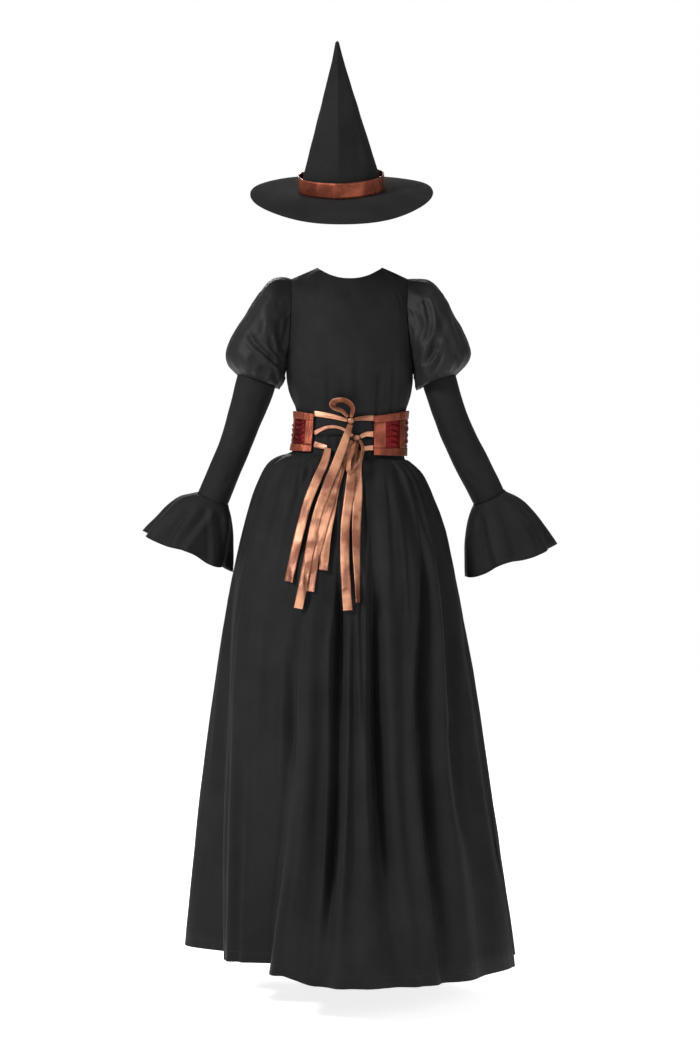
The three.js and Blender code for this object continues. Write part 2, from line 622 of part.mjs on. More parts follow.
// The cincher: red panels under copper bindings and bars, in layers that all follow the trunk.
const PANEL_OUT = BELT_STANDOFF + BELT_WALL;
const TRIM_OUT = PANEL_OUT + TRIM_GAP + TRIM_WALL;
const BINDING_SHARE = 0.18; // of the cincher's height, along each edge
const BAR_GAP_SHARE = 0.005; // of the cincher's height, between a bar's end and a binding
// The bars and the ends, as angles from the middle of the back, to the wearer's left.
const BARS = {
  end_left: { from: 40.5, to: 51.5 },
  side_left: { from: 75, to: 82 },
  side_right: { from: 288, to: 299.5 },
  end_right: { from: 321.5, to: 335 },
};
const BELT_PANELS = {
  left: { from: BARS.end_left.from, to: 78.4 },
  front: { from: 78.6, to: 293.6 },
  right: { from: 293.8, to: BARS.end_right.to },
};
const BELT_STEP = 9; // degrees between columns, shared by every layer so that their facets nest

function beltSurface(from, to, out) {
  return (u, v) => {
    const angle = lerp(from, to, u);
    const drop = lerp(beltTop(angle), beltBottom(angle), v);
    const [sine, cosine] = [Math.sin(radians(angle)), Math.cos(radians(angle))];
    const wide = read(TRUNK, "drop", drop, sine > 0 ? "left" : "right");
    const deep = read(TRUNK, "drop", drop, cosine > 0 ? "back" : "front");
    const normal = new THREE.Vector2(sine / wide, cosine / deep).normalize();
    return at(wide * sine + normal.x * out, deep * cosine + normal.y * out, drop);
  };
}

function beltLayer(from, to, rows, out, thickness) {
  const pieces = [...Object.values(BARS), ...Object.values(BELT_PANELS)];
  const marks = pieces.flatMap((piece) => [piece.from, piece.to]);
  for (let angle = 0; angle < 360; angle += BELT_STEP) marks.push(angle);
  const covered = [...new Set(marks)].filter((angle) => angle >= from && angle <= to);
  const angles = covered.sort((a, b) => a - b);
  const columns = angles.map((angle) => (angle - from) / (to - from));
  return wall(beltSurface(from, to, out), { columns, rows, thickness, side: -1 });
}

for (const [name, panel] of Object.entries(BELT_PANELS)) {
  const rows = [0, BINDING_SHARE, 0.5, 1 - BINDING_SHARE, 1];
  add("belt_panel_" + name, beltLayer(panel.from, panel.to, rows, PANEL_OUT, BELT_WALL), red);
}
const edgeRows = { top: [0, BINDING_SHARE], bottom: [1 - BINDING_SHARE, 1] };
for (const [name, rows] of Object.entries(edgeRows)) {
  const [from, to] = [BARS.end_left.from, BARS.end_right.to];
  add("belt_binding_" + name, beltLayer(from, to, rows, TRIM_OUT, TRIM_WALL), copper);
}
for (const [name, bar] of Object.entries(BARS)) {
  const end = BINDING_SHARE + BAR_GAP_SHARE;
  const rows = [end, 0.5, 1 - end];
  add("belt_bar_" + name, beltLayer(bar.from, bar.to, rows, TRIM_OUT, TRIM_WALL), copper);
}

const WAIST_BACK = 70; // how far back the waist reaches, to turn a place on it into an angle
const BACK_FOLDS = { first: 18, last: 30, steps: 260 }; // the fold lines that ribbons can rest on

// How steeply the plain dress falls away sideways at the back, and how far back its folds reach over a width
// laid along that slope.
function backOfDress(x, drop, width) {
  const above = drop <= WAIST_SEAM_DROP;
  const table = above ? TRUNK : SKIRT;
  const half = read(table, "drop", drop, x > 0 ? "left" : "right");
  const share = clamp(x / half, -0.9, 0.9);
  const slope = (-share * read(table, "drop", drop, "back")) / (half * Math.sqrt(1 - share * share));
  if (above) return { slope, reach: trunk(share, drop, 1).y };
  let reach = 0;
  const level = drop - levelShift(Math.atan2(x, WAIST_BACK) / radians(1), drop);
  for (const u of evenly(BACK_FOLDS.steps, foldShares[BACK_FOLDS.first], foldShares[BACK_FOLDS.last])) {
    const point = skirt(u, level);
    if (Math.abs(point.x - x) < width / 2) reach = Math.max(reach, point.y - slope * (point.x - x));
  }
  return { slope, reach };
}

// A satin ribbon along a table of places. It lies over the dress at each row's lift, and where it hangs it is
// taut over hollows. turn swings its width from flat on the dress to straight out, in degrees.
function ribbon(table, { stations = 12, hangs = false } = {}) {
  const rows = table.map((row, i) => ({ along: i, ...row }));
  for (let i = 1; i < rows.length; i++) {
    const [a, b] = [rows[i - 1], rows[i]];
    b.along = a.along + Math.hypot(b.x - a.x, b.drop - a.drop);
  }
  const length = rows[rows.length - 1].along;
  const places = evenly(stations).map((share) => {
    const place = { share };
    for (const name of ["x", "drop", "lift", "width", "turn"]) {
      place[name] = read(rows, "along", share * length, name);
    }
    const { slope, reach } = backOfDress(place.x, place.drop, REST_WIDTH);
    return { ...place, slope, under: reach };
  });
  for (const [i, place] of places.entries()) {
    place.y = place.under;
    if (hangs) {
      for (const before of places.slice(0, i)) {
        for (const after of places.slice(i + 1)) {
          const t = (place.share - before.share) / (after.share - before.share);
          place.y = Math.max(place.y, lerp(before.under, after.under, t));
        }
      }
    }
    place.y += place.lift;
  }
  const column = (v, name) => read(places, "share", v, name);
  const middle = (v) => at(column(v, "x"), column(v, "y"), column(v, "drop"));
  const step = 1e-3;
  const surface = (u, v) => {
    const inside = clamp(v, 0, 1);
    const [next, last] = [middle(Math.min(inside + step, 1)), middle(Math.max(inside - step, 0))];
    const ahead = next.sub(last).setY(0).normalize();
    const lying = Math.atan(column(inside, "slope") * -ahead.z);
    const turn = lying + radians(column(inside, "turn"));
    const across = new THREE.Vector3(-ahead.z, 0, ahead.x).multiplyScalar(Math.cos(turn));
    across.y = Math.sin(turn);
    return middle(inside).addScaledVector(across, (u - 0.5) * column(inside, "width"));
  };
  return wall(surface, { columns: [0, 1], rows: evenly(stations), thickness: RIBBON_WALL, side: 1 });
}

// The laces: three a side from the end bars to the bow, bunched where they are tied.
const LACES = {
  left_top: [
    { x: 76.3, drop: 298, lift: 3.4, width: 12, turn: 0 },
    { x: 45, drop: 303, lift: 3.6, width: 11, turn: 0 },
    { x: 6.2, drop: 313, lift: 6.2, width: 7, turn: 0 },
  ],
  left_middle: [
    { x: 76.3, drop: 340, lift: 3.4, width: 10, turn: 0 },
    { x: 40, drop: 326, lift: 3.2, width: 6, turn: 0 },
    { x: 9, drop: 334, lift: 3.2, width: 6, turn: 0 },
    { x: -5.7, drop: 346, lift: 5.5, width: 6, turn: 0 },
  ],
  left_bottom: [
    { x: 76.3, drop: 363, lift: 3.4, width: 13, turn: 0 },
    { x: 62, drop: 367, lift: 4, width: 11, turn: 0 },
    { x: 49, drop: 370, lift: 5, width: 9, turn: 0 },
  ],
  right_top: [
    { x: -50.9, drop: 308, lift: 3.4, width: 13, turn: 0 },
    { x: -30, drop: 308.5, lift: 4.5, width: 10, turn: 0 },
    { x: -9.8, drop: 311, lift: 6.2, width: 7, turn: 0 },
  ],
  right_middle: [
    { x: -50.1, drop: 342, lift: 3.4, width: 13, turn: 0 },
    { x: -36, drop: 342, lift: 4.5, width: 10, turn: 0 },
    { x: -21.9, drop: 348, lift: 5.8, width: 8, turn: 0 },
  ],
  right_bottom: [
    { x: -49.5, drop: 371, lift: 3.4, width: 12, turn: 0 },
    { x: -40, drop: 371.3, lift: 3.8, width: 10, turn: 0 },
    { x: -27, drop: 373, lift: 5, width: 9, turn: 0 },
  ],
};
for (const [name, table] of Object.entries(LACES)) {
  add("lace_" + name, ribbon(table, { stations: 4 }), copper);
}

// The two knots, one over the other.
const KNOTS = {
  upper: { x: -2, drop: 314, wide: 15, deep: 12, high: 14, lift: 7.2 },
  lower: { x: -14, drop: 350, wide: 15, deep: 12, high: 14, lift: 6.2 },
};
for (const [name, knot] of Object.entries(KNOTS)) {
  const lump = new THREE.SphereGeometry(0.5, 10, 7);
  lump.scale(knot.wide, knot.deep, knot.high);
  lump.translate(knot.x, backOfDress(knot.x, knot.drop, knot.wide).reach + knot.lift, -knot.drop);
  add("knot_" + name, lump, copper);
}

// The ribbon ends that hang from the laces and the knots, from the wearer's left to the right.
const ENDS = {
  a: [
    { x: 46, drop: 371, lift: 6.4, width: 14, turn: 0 },
    { x: 51, drop: 395, lift: 4, width: 17, turn: 0 },
    { x: 67, drop: 434, lift: 3, width: RIBBON_WIDTH, turn: 0 },
    { x: 88, drop: 486, lift: 2.5, width: RIBBON_WIDTH, turn: 0 },
    { x: 103, drop: 543, lift: 2.5, width: RIBBON_WIDTH, turn: 0 },
    { x: 127, drop: 649, lift: 2.5, width: RIBBON_WIDTH, turn: 0 },
  ],
  b: [
    { x: -1, drop: 321.4, lift: 8, width: 11, turn: 0 },
    { x: 12, drop: 361, lift: 12, width: 17, turn: 0 },
    { x: 27, drop: 402, lift: 11.5, width: RIBBON_WIDTH, turn: 0 },
    { x: 50, drop: 460, lift: 9.8, width: RIBBON_WIDTH, turn: 0 },
    { x: 68, drop: 512, lift: 9, width: RIBBON_WIDTH, turn: 0 },
    { x: 84, drop: 589, lift: 8.3, width: RIBBON_WIDTH, turn: 0 },
    { x: 99, drop: 668, lift: 9.3, width: RIBBON_WIDTH, turn: -6 },
    { x: 106, drop: 703, lift: 7, width: RIBBON_WIDTH, turn: 0 },
  ],
  c: [
    { x: 7, drop: 352, lift: 8, width: 12, turn: 0 },
    { x: 23, drop: 410, lift: 7, width: RIBBON_WIDTH, turn: 0 },
    { x: 41, drop: 481, lift: 5.5, width: RIBBON_WIDTH, turn: 0 },
    { x: 58, drop: 543, lift: 5.3, width: RIBBON_WIDTH, turn: 0 },
    { x: 73, drop: 604, lift: 3.5, width: RIBBON_WIDTH, turn: 0 },
    { x: 83, drop: 668, lift: 2.5, width: RIBBON_WIDTH, turn: 0 },
  ],
  d: [
    { x: -4.5, drop: 355.5, lift: 4.5, width: 8, turn: 0 },
    { x: 17, drop: 408, lift: 3.5, width: 18, turn: 0 },
    { x: 32, drop: 460, lift: 1.8, width: RIBBON_WIDTH, turn: 0 },
    { x: 39, drop: 502, lift: 1.6, width: RIBBON_WIDTH, turn: 0 },
    { x: 48, drop: 553, lift: 1.6, width: RIBBON_WIDTH, turn: 0 },
    { x: 55, drop: 625, lift: 2, width: RIBBON_WIDTH, turn: 0 },
  ],
  e: [
    { x: -14.5, drop: 357.4, lift: 6, width: 9, turn: 0 },
    { x: -7, drop: 397, lift: 8.5, width: 17, turn: 0 },
    { x: -3, drop: 434, lift: 8, width: RIBBON_WIDTH, turn: 0 },
    { x: 4, drop: 486, lift: 7.4, width: RIBBON_WIDTH, turn: 0 },
    { x: 10, drop: 545, lift: 5, width: RIBBON_WIDTH, turn: 0 },
    { x: 10.5, drop: 600, lift: 4, width: RIBBON_WIDTH, turn: 0 },
    { x: 8, drop: 653, lift: 4, width: RIBBON_WIDTH, turn: 0 },
    { x: 4.5, drop: 706, lift: 4, width: RIBBON_WIDTH, turn: 0 },
  ],
  f: [
    { x: -24, drop: 375, lift: 6.2, width: 11, turn: 0 },
    { x: -16, drop: 420, lift: 2.8, width: 17, turn: 0 },
    { x: -16, drop: 462, lift: 2.4, width: RIBBON_WIDTH, turn: 0 },
    { x: -13.5, drop: 538, lift: 5, width: RIBBON_WIDTH, turn: 20 },
    { x: -13.5, drop: 590, lift: 7.5, width: RIBBON_WIDTH, turn: 36 },
    { x: -15.5, drop: 640, lift: 9.5, width: RIBBON_WIDTH, turn: 52 },
    { x: -16.5, drop: 690, lift: 11, width: RIBBON_WIDTH, turn: 64 },
  ],
};
for (const [name, table] of Object.entries(ENDS)) {
  add("ribbon_end_" + name, ribbon(table, { stations: 16, hangs: true }), copper);
}

// The bow's two loops, which stand open, one up to the wearer's left and one down: the places of the ribbon's
// middle, with how far behind the dress it is.
const LOOPS = {
  upper: [
    { x: -1.5, drop: 306.7, lift: 8, width: 12, turn: 62 },
    { x: -5.5, drop: 291, lift: 15, width: 17, turn: 62 },
    { x: 1, drop: 278.5, lift: 16, width: RIBBON_WIDTH, turn: 62 },
    { x: 17, drop: 271.5, lift: 16, width: RIBBON_WIDTH, turn: 62 },
    { x: 33, drop: 274.5, lift: 16, width: RIBBON_WIDTH, turn: 62 },
    { x: 37.5, drop: 281, lift: 16, width: RIBBON_WIDTH, turn: 62 },
    { x: 30, drop: 287.5, lift: 16, width: 18, turn: 62 },
    { x: 15, drop: 294, lift: 14, width: 16, turn: 62 },
    { x: 4, drop: 306, lift: 8.5, width: 12, turn: 62 },
  ],
  lower: [
    { x: -20.7, drop: 354.2, lift: 8.5, width: 12, turn: 62 },
    { x: -28, drop: 372, lift: 28, width: 17, turn: 62 },
    { x: -24, drop: 393, lift: 34, width: RIBBON_WIDTH, turn: 62 },
    { x: -14, drop: 414, lift: 26, width: RIBBON_WIDTH, turn: 62 },
    { x: -2, drop: 425, lift: 22, width: RIBBON_WIDTH, turn: 62 },
    { x: 4, drop: 418, lift: 25, width: RIBBON_WIDTH, turn: 62 },
    { x: 2, drop: 398, lift: 34, width: 18, turn: 62 },
    { x: -5, drop: 378, lift: 38, width: 16, turn: 62 },
    { x: -9.5, drop: 357, lift: 14, width: 11, turn: 62 },
  ],
};
for (const [name, table] of Object.entries(LOOPS)) {
  add("bow_loop_" + name, ribbon(table, { stations: 14 }), copper);
}

// The hat: a creased cone on a round brim with a satin band, tipped back and a little to the wearer's left.
const HAT = {
  place: new THREE.Vector3(18, 6, 182),
  tipBack: 20,
  lean: 1.6,
  height: 315,
  radius: 90,
  wall: 2,
  brimInner: 86,
  brimOuter: 191,
  brimWall: 2.5,
  bandHeight: 33,
  bandFoot: 0.99, // the band's lower edge, as a share of its height, just clear of the brim
  tip: 4, // radius and height of the rounded tip
  tipSolid: 14, // how far the inside stops below the tip
};
// The crown's outer radius at each share of its height.
const CROWN_PROFILE = [
  { radius: HAT.radius, share: 0 },
  { radius: 70, share: 0.22 },
  { radius: 45, share: 0.5 },
  { radius: 18, share: 0.8 },
];
const DROOP = { all: 4, back: 11, ends: 14, left: -4, power: 1.6 }; // of the brim's edge
const hat = new THREE.Group();
hat.position.copy(HAT.place);
hat.rotation.set(-radians(HAT.tipBack), radians(HAT.lean), 0);
costume.add(hat);

const HAT_COLUMNS = 28;

// The cone is pressed to a soft edge at the back and the front.
const hatCrease = (angle) => 1 + 0.035 * Math.pow(1 - Math.abs(Math.sin(angle)), 3);

function hatCrown() {
  const { height, tip, tipSolid } = HAT;
  const outside = CROWN_PROFILE.map((row) => new THREE.Vector2(row.radius, height * row.share));
  const inside = outside.map((point) => new THREE.Vector2(point.x - HAT.wall, point.y)).reverse();
  const start = new THREE.Vector2(0, height - tipSolid);
  const end = [new THREE.Vector2(tip, height - tip), new THREE.Vector2(0, height)];
  const lathe = new THREE.LatheGeometry([start, ...inside, ...outside, ...end], HAT_COLUMNS);
  lathe.rotateX(Math.PI / 2);
  const places = lathe.attributes.position;
  for (let i = 0; i < places.count; i++) {
    const factor = hatCrease(Math.atan2(places.getX(i), places.getY(i)));
    places.setXY(i, places.getX(i) * factor, places.getY(i) * factor);
  }
  return lathe;
}

// The brim droops at the back and a little at the front.
function hatBrim(u, v) {
  const angle = 2 * Math.PI * u;
  const radius = lerp(HAT.brimInner, HAT.brimOuter, v);
  const [sine, cosine] = [Math.sin(angle), Math.cos(angle)];
  const droop = DROOP.all + DROOP.back * cosine + DROOP.ends * cosine * cosine + DROOP.left * sine;
  const height = -SEAM - droop * Math.pow(clamp(v, 0, 1), DROOP.power);
  return new THREE.Vector3(radius * sine, radius * cosine, height);
}

function hatBand(u, v) {
  const angle = 2 * Math.PI * u;
  const radius = (HAT.radius + SEAM + TRIM_WALL) * hatCrease(angle);
  return new THREE.Vector3(radius * Math.sin(angle), radius * Math.cos(angle), HAT.bandHeight * (1 - v));
}

const hatRound = { columns: roundly(HAT_COLUMNS), round: true };
const brimWall = wall(hatBrim, { ...hatRound, rows: [0, 0.35, 0.7, 1], thickness: HAT.brimWall });
const bandWall = wall(hatBand, { ...hatRound, rows: [0, HAT.bandFoot], thickness: TRIM_WALL });
add("hat_crown", hatCrown(), felt, hat);
add("hat_brim", brimWall, felt, hat);
add("hat_band", bandWall, copper, hat);

export default costume;
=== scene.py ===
import math
import random

import bmesh
import bpy
import numpy as np
from mathutils import Matrix, Vector
from mathutils.bvhtree import BVHTree


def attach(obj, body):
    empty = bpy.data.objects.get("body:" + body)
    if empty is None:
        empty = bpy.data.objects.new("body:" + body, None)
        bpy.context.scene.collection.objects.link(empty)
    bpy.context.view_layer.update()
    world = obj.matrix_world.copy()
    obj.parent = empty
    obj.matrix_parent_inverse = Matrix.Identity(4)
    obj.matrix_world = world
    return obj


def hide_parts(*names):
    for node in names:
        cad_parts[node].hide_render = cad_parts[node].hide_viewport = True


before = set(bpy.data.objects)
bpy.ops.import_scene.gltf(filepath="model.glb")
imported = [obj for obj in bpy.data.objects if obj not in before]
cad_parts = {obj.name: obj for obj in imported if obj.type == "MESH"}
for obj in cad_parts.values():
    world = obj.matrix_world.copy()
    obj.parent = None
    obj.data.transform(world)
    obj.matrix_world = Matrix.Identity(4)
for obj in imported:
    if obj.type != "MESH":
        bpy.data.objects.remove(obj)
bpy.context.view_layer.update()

# Witch costume, seen from behind. Metres, +Z up, the wearer faces -Y.
# Each visible piece is grown from its CAD node's solid: a smooth fine mesh through the same
# points, with creases, gathers and stitches added to it.

MM = 0.001
WELD = 0.00005  # points nearer than this are one point
RIM = 0.0022  # an edge shorter than this runs through a wall, not along it

# Colours, linear

BLACK = (0.0072, 0.0070, 0.0073)
BLACK_WORN = (0.0104, 0.0101, 0.0103)
FELT = (0.0086, 0.0083, 0.0083)
FELT_PALE = (0.0132, 0.0127, 0.0125)
# The ribbons' copper satin, painted lit: paler, as if the satin faces the light.
COPPER_PAINTED_LIT = (0.520, 0.240, 0.135)
# Painted shade, laid in dark patches on the ribbons' satin; also the copper thread's darker tone.
COPPER_PAINTED_SHADE_AND_DARK_THREAD = (0.200, 0.066, 0.033)
# The trim's copper, the same satin painted shaded: darker than the ribbons' copy.
TRIM_PAINTED_SHADED = (0.290, 0.072, 0.038)
# Painted shade, laid in dark patches on the trim's satin.
TRIM_PAINTED_SHADE = (0.125, 0.028, 0.014)
RED = (0.150, 0.0080, 0.0100)
RED_DARK = (0.060, 0.0035, 0.0050)
THREAD = (0.016, 0.015, 0.015)
COPPER_THREAD = (0.200, 0.065, 0.035)


# Camera, lights and floor

EYE = 4.6  # from the costume's middle to the camera
EYE_HEIGHT = -0.481
PIXEL = 0.00214  # size of a pixel at the costume's middle
PICTURE_ROWS = 1050
EYE_ABOVE_MIDDLE = 25  # rows from the eye's height down to the picture's middle
PICTURE = PICTURE_ROWS * PIXEL
PICTURE_MIDDLE = EYE_HEIGHT - EYE_ABOVE_MIDDLE * PIXEL
SENSOR = 36.0
LIGHTS = [
    {"name": "key", "place": (2.8, 2.5, 1.8), "size": 1.2, "power": 205},
    {"name": "fill", "place": (-3.2, 3.0, 0.7), "size": 1.8, "power": 55},
    {"name": "front_key", "place": (0.5, -3.9, 1.5), "size": 1.4, "power": 75},
    {"name": "top", "place": (0.2, 0.6, 3.0), "size": 1.6, "power": 38},
]
LIGHTS_AIM = (0, 0, -0.6)
ROOM_LIGHT = 0.24
FLOOR = -1.540
FLOOR_RADIUS = 9
FLOOR_GLOW = 0.82  # lights the floor until it is nearly as pale as the backdrop


def add_camera():
    """The photo's view, level and from straight behind the wearer."""
    data = bpy.data.cameras.new("camera")
    data.sensor_width = SENSOR
    data.lens = SENSOR * EYE / PICTURE
    data.shift_y = (PICTURE_MIDDLE - EYE_HEIGHT) / PICTURE
    camera = bpy.data.objects.new("camera", data)
    bpy.context.scene.collection.objects.link(camera)
    camera.location = (0, EYE, EYE_HEIGHT)
    camera.rotation_euler = (math.pi / 2, 0, math.pi)
    bpy.context.scene.camera = camera


def add_light(name, place, size, power):
    data = bpy.data.lights.new(name, "AREA")
    data.shape = "DISK"
    data.size = size
    data.energy = power
    light = bpy.data.objects.new(name, data)
    bpy.context.scene.collection.objects.link(light)
    light.location = place
    light.rotation_euler = (Vector(LIGHTS_AIM) - Vector(place)).to_track_quat("-Z", "Y").to_euler()


def set_inputs(node, values):
    for name, value in values.items():
        node.inputs[name].default_value = value


def add_studio():
    """Four soft lights, a little light from all round, and a white backdrop that only the camera sees."""
    for light in LIGHTS:
        add_light(**light)
    world = bpy.data.worlds.new("studio")
    world.use_nodes = True
    tree = world.node_tree
    add = tree.nodes.new
    link = tree.links.new
    tree.nodes.clear()
    out = add("ShaderNodeOutputWorld")
    mix = add("ShaderNodeMixShader")
    rays = add("ShaderNodeLightPath")
    room = add("ShaderNodeBackground")
    set_inputs(room, {"Color": (1, 1, 1, 1), "Strength": ROOM_LIGHT})
    backdrop = add("ShaderNodeBackground")
    set_inputs(backdrop, {"Color": (1, 1, 1, 1), "Strength": 1.0})
    link(rays.outputs["Is Camera Ray"], mix.inputs[0])
    link(room.outputs[0], mix.inputs[1])
    link(backdrop.outputs[0], mix.inputs[2])
    link(mix.outputs[0], out.inputs["Surface"])
    bpy.context.scene.world = world
    bpy.context.scene.view_settings.view_transform = "Standard"


def add_floor():
    bpy.ops.mesh.primitive_circle_add(
        vertices=96, radius=FLOOR_RADIUS, fill_type="NGON", location=(0, 0, FLOOR)
    )
    floor = bpy.context.object
    floor.name = "floor"
    material = bpy.data.materials.new("floor")
    material.use_nodes = True
    shader = material.node_tree.nodes["Principled BSDF"]
    set_inputs(shader, {"Base Color": (0.93, 0.93, 0.93, 1), "Roughness": 0.9, "Specular IOR Level": 0.1})
    set_inputs(shader, {"Emission Color": (1, 1, 1, 1), "Emission Strength": FLOOR_GLOW})
    floor.data.materials.append(material)


# Materials


EVEN = {"scale": 14, "low": 0.30, "high": 0.72}  # a slow change of colour over the cloth
PAINTED_SHADE_PATCHES = {"scale": 19, "low": 0.40, "high": 0.60}  # copper satin in dark and pale patches: painted shade and painted reflection
SHEEN_ROUGHNESS = 0.45
SLUB_SCALE = 90  # size of the cloth's small unevenness, as waves a metre
SLUB_SPREAD = 0.06  # how far it moves the roughness either way
SLUB_HEIGHT = 0.6  # beside the threads' height
THREAD_WAVER = 0.6
BUMP = {"Strength": 0.35, "Distance": 0.0003}


def cloth_material(name, colours, roughness, weave, sheen=0.0, metal=0.0, gloss=0.5, fibre=0.0, clouds=EVEN):
    """Woven cloth: threads from the UV map, in metres, and a soft unevenness of colour and gloss; on the
    copper satins the colour's patches are painted shade and painted reflection.
    """
    material = bpy.data.materials.new(name)
    material.use_nodes = True
    tree = material.node_tree
    add = tree.nodes.new
    link = tree.links.new
    shader = tree.nodes["Principled BSDF"]
    set_inputs(shader, {"Metallic": metal, "Specular IOR Level": gloss})
    set_inputs(shader, {"Sheen Weight": sheen, "Sheen Roughness": SHEEN_ROUGHNESS})

    place = add("ShaderNodeTexCoord")
    cloud = add("ShaderNodeTexNoise")
    set_inputs(cloud, {"Scale": clouds["scale"], "Detail": 3})
    link(place.outputs["Object"], cloud.inputs["Vector"])
    colour = add("ShaderNodeValToRGB")
    for stop, share, shade in zip(colour.color_ramp.elements, ("low", "high"), colours):
        stop.position = clouds[share]
        stop.color = (*shade, 1)
    link(cloud.outputs["Fac"], colour.inputs["Fac"])
    link(colour.outputs["Color"], shader.inputs["Base Color"])

    slub = add("ShaderNodeTexNoise")
    set_inputs(slub, {"Scale": SLUB_SCALE, "Detail": 3})
    link(place.outputs["Object"], slub.inputs["Vector"])
    rough = add("ShaderNodeMapRange")
    set_inputs(rough, {"To Min": roughness - SLUB_SPREAD, "To Max": roughness + SLUB_SPREAD})
    link(slub.outputs["Fac"], rough.inputs["Value"])
    link(rough.outputs["Result"], shader.inputs["Roughness"])

    heights = []
    for direction in ("X", "Y"):
        threads = add("ShaderNodeTexWave")
        threads.bands_direction = direction
        set_inputs(threads, {"Scale": weave, "Distortion": THREAD_WAVER, "Detail": 1})
        link(place.outputs["UV"], threads.inputs["Vector"])
        heights.append(threads.outputs["Fac"])
    woven = add("ShaderNodeMath")
    woven.operation = "MAXIMUM"
    link(heights[0], woven.inputs[0])
    link(heights[1], woven.inputs[1])
    grain = add("ShaderNodeMath")
    grain.operation = "MULTIPLY_ADD"
    grain.inputs[1].default_value = SLUB_HEIGHT + fibre
    link(slub.outputs["Fac"], grain.inputs[0])
    link(woven.outputs["Value"], grain.inputs[2])
    bump = add("ShaderNodeBump")
    set_inputs(bump, BUMP)
    link(grain.outputs["Value"], bump.inputs["Height"])
    link(bump.outputs["Normal"], shader.inputs["Normal"])
    return material


CLOTHS = [
    {"name": "black_cloth", "colours": (BLACK, BLACK_WORN), "roughness": 0.70, "weave": 260, "sheen": 0.015,
     "gloss": 0.10},
    {"name": "black_sateen", "colours": (BLACK, BLACK_WORN), "roughness": 0.55, "weave": 300, "sheen": 0.02,
     "gloss": 0.16},
    {"name": "black_felt", "colours": (FELT, FELT_PALE), "roughness": 0.90, "weave": 120, "sheen": 0.012,
     "gloss": 0.08, "fibre": 1.4},
    {"name": "red_satin", "colours": (RED_DARK, RED), "roughness": 0.36, "weave": 420, "metal": 0.70,
     "gloss": 0.15},
    # The two copper satins are one cloth: a painted lit copy for the ribbons, a painted shaded copy for the
    # trim.
    {"name": "copper_satin", "colours": (COPPER_PAINTED_SHADE_AND_DARK_THREAD, COPPER_PAINTED_LIT), "roughness": 0.33, "weave": 420, "metal": 0.40,
     "gloss": 0.6, "clouds": PAINTED_SHADE_PATCHES},
    {"name": "copper_trim", "colours": (TRIM_PAINTED_SHADE, TRIM_PAINTED_SHADED), "roughness": 0.34, "weave": 420, "metal": 0.65,
     "gloss": 0.3, "clouds": PAINTED_SHADE_PATCHES},
    {"name": "thread", "colours": (BLACK_WORN, THREAD), "roughness": 0.55, "weave": 900},
    {"name": "copper_thread", "colours": (COPPER_PAINTED_SHADE_AND_DARK_THREAD, COPPER_THREAD), "roughness": 0.45, "weave": 900},
]
MATERIALS = {cloth["name"]: cloth_material(**cloth) for cloth in CLOTHS}


# Fine meshes through the CAD points


def quads(node):
    """The node's mesh in quads, with the edges round its wall's rim creased."""
    mesh = bmesh.new()
    mesh.from_mesh(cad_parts[node].data)
    bmesh.ops.remove_doubles(mesh, verts=mesh.verts, dist=WELD)
    bmesh.ops.join_triangles(
        mesh,
        faces=mesh.faces[:],
        angle_face_threshold=math.pi,
        angle_shape_threshold=math.pi,
        topology_influence=2.0,
    )
    crease = mesh.edges.layers.float.new("crease_edge")
    on_rim = {}
    for face in mesh.faces:
        short = [edge for edge in face.edges if edge.calc_length() < RIM]
        on_rim[face] = len(face.edges) == 4 and len(short) >= 2
    for edge in mesh.edges:
        sides = [on_rim[face] for face in edge.link_faces]
        corner = all(sides) and edge.calc_face_angle(0) > math.radians(50)
        if any(sides) and not all(sides) or corner:
            edge[crease] = 1.0
    data = bpy.data.meshes.new(node)
    mesh.to_mesh(data)
    mesh.free()
    return data


def points_of(data):
    flat = np.empty(len(data.vertices) * 3)
    data.vertices.foreach_get("co", flat)
    return flat.reshape(-1, 3)


def set_points(data, points):
    data.vertices.foreach_set("co", points.ravel())
    data.update()


def surface_of(data):
    """The mesh as a tree, for rays and nearest points."""
    corners = [tuple(face.vertices) for face in data.polygons]
    return BVHTree.FromPolygons([tuple(point) for point in points_of(data)], corners)


def refined(node, level):
    """An object with the node's shape, subdivided so that it still passes through the node's points."""
    data = quads(node)
    piece = bpy.data.objects.new(node + "_cloth", data)
    bpy.context.scene.collection.objects.link(piece)
    smooth = piece.modifiers.new("smooth", "SUBSURF")
    smooth.levels = level
    wanted = points_of(data)
    for _ in range(3):
        seen = piece.evaluated_get(bpy.context.evaluated_depsgraph_get())
        reached = points_of(seen.data)[: len(wanted)]
        set_points(data, points_of(data) + (wanted - reached))
    seen = piece.evaluated_get(bpy.context.evaluated_depsgraph_get())
    fine = bpy.data.meshes.new_from_object(seen)
    piece.modifiers.clear()
    piece.data = fine
    return piece


def cut_edges(piece, cut):
    """Cuts a piece's upright or level edges, so that folds across them get more points."""
    mesh = bmesh.new()
    mesh.from_mesh(piece.data)
    chosen = []
    for edge in mesh.edges:
        along = edge.verts[1].co - edge.verts[0].co
        steep = abs(along.z) / max(along.length, WELD)
        if along.length > RIM and cut["low"] < steep < cut["high"]:
            chosen.append(edge)
    bmesh.ops.subdivide_edges(mesh, edges=chosen, cuts=cut["cuts"], use_grid_fill=True, smooth=cut["smooth"])
    mesh.to_mesh(piece.data)
    mesh.free()


def finish_piece(piece, node, material):
    """The piece's material, UV map, smooth shading and place in the table."""
    data = piece.data
    data.materials.clear()
    data.materials.append(MATERIALS[material])
    data.shade_smooth()
    add_uv(data)
    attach(piece, "root")
    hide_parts(node)


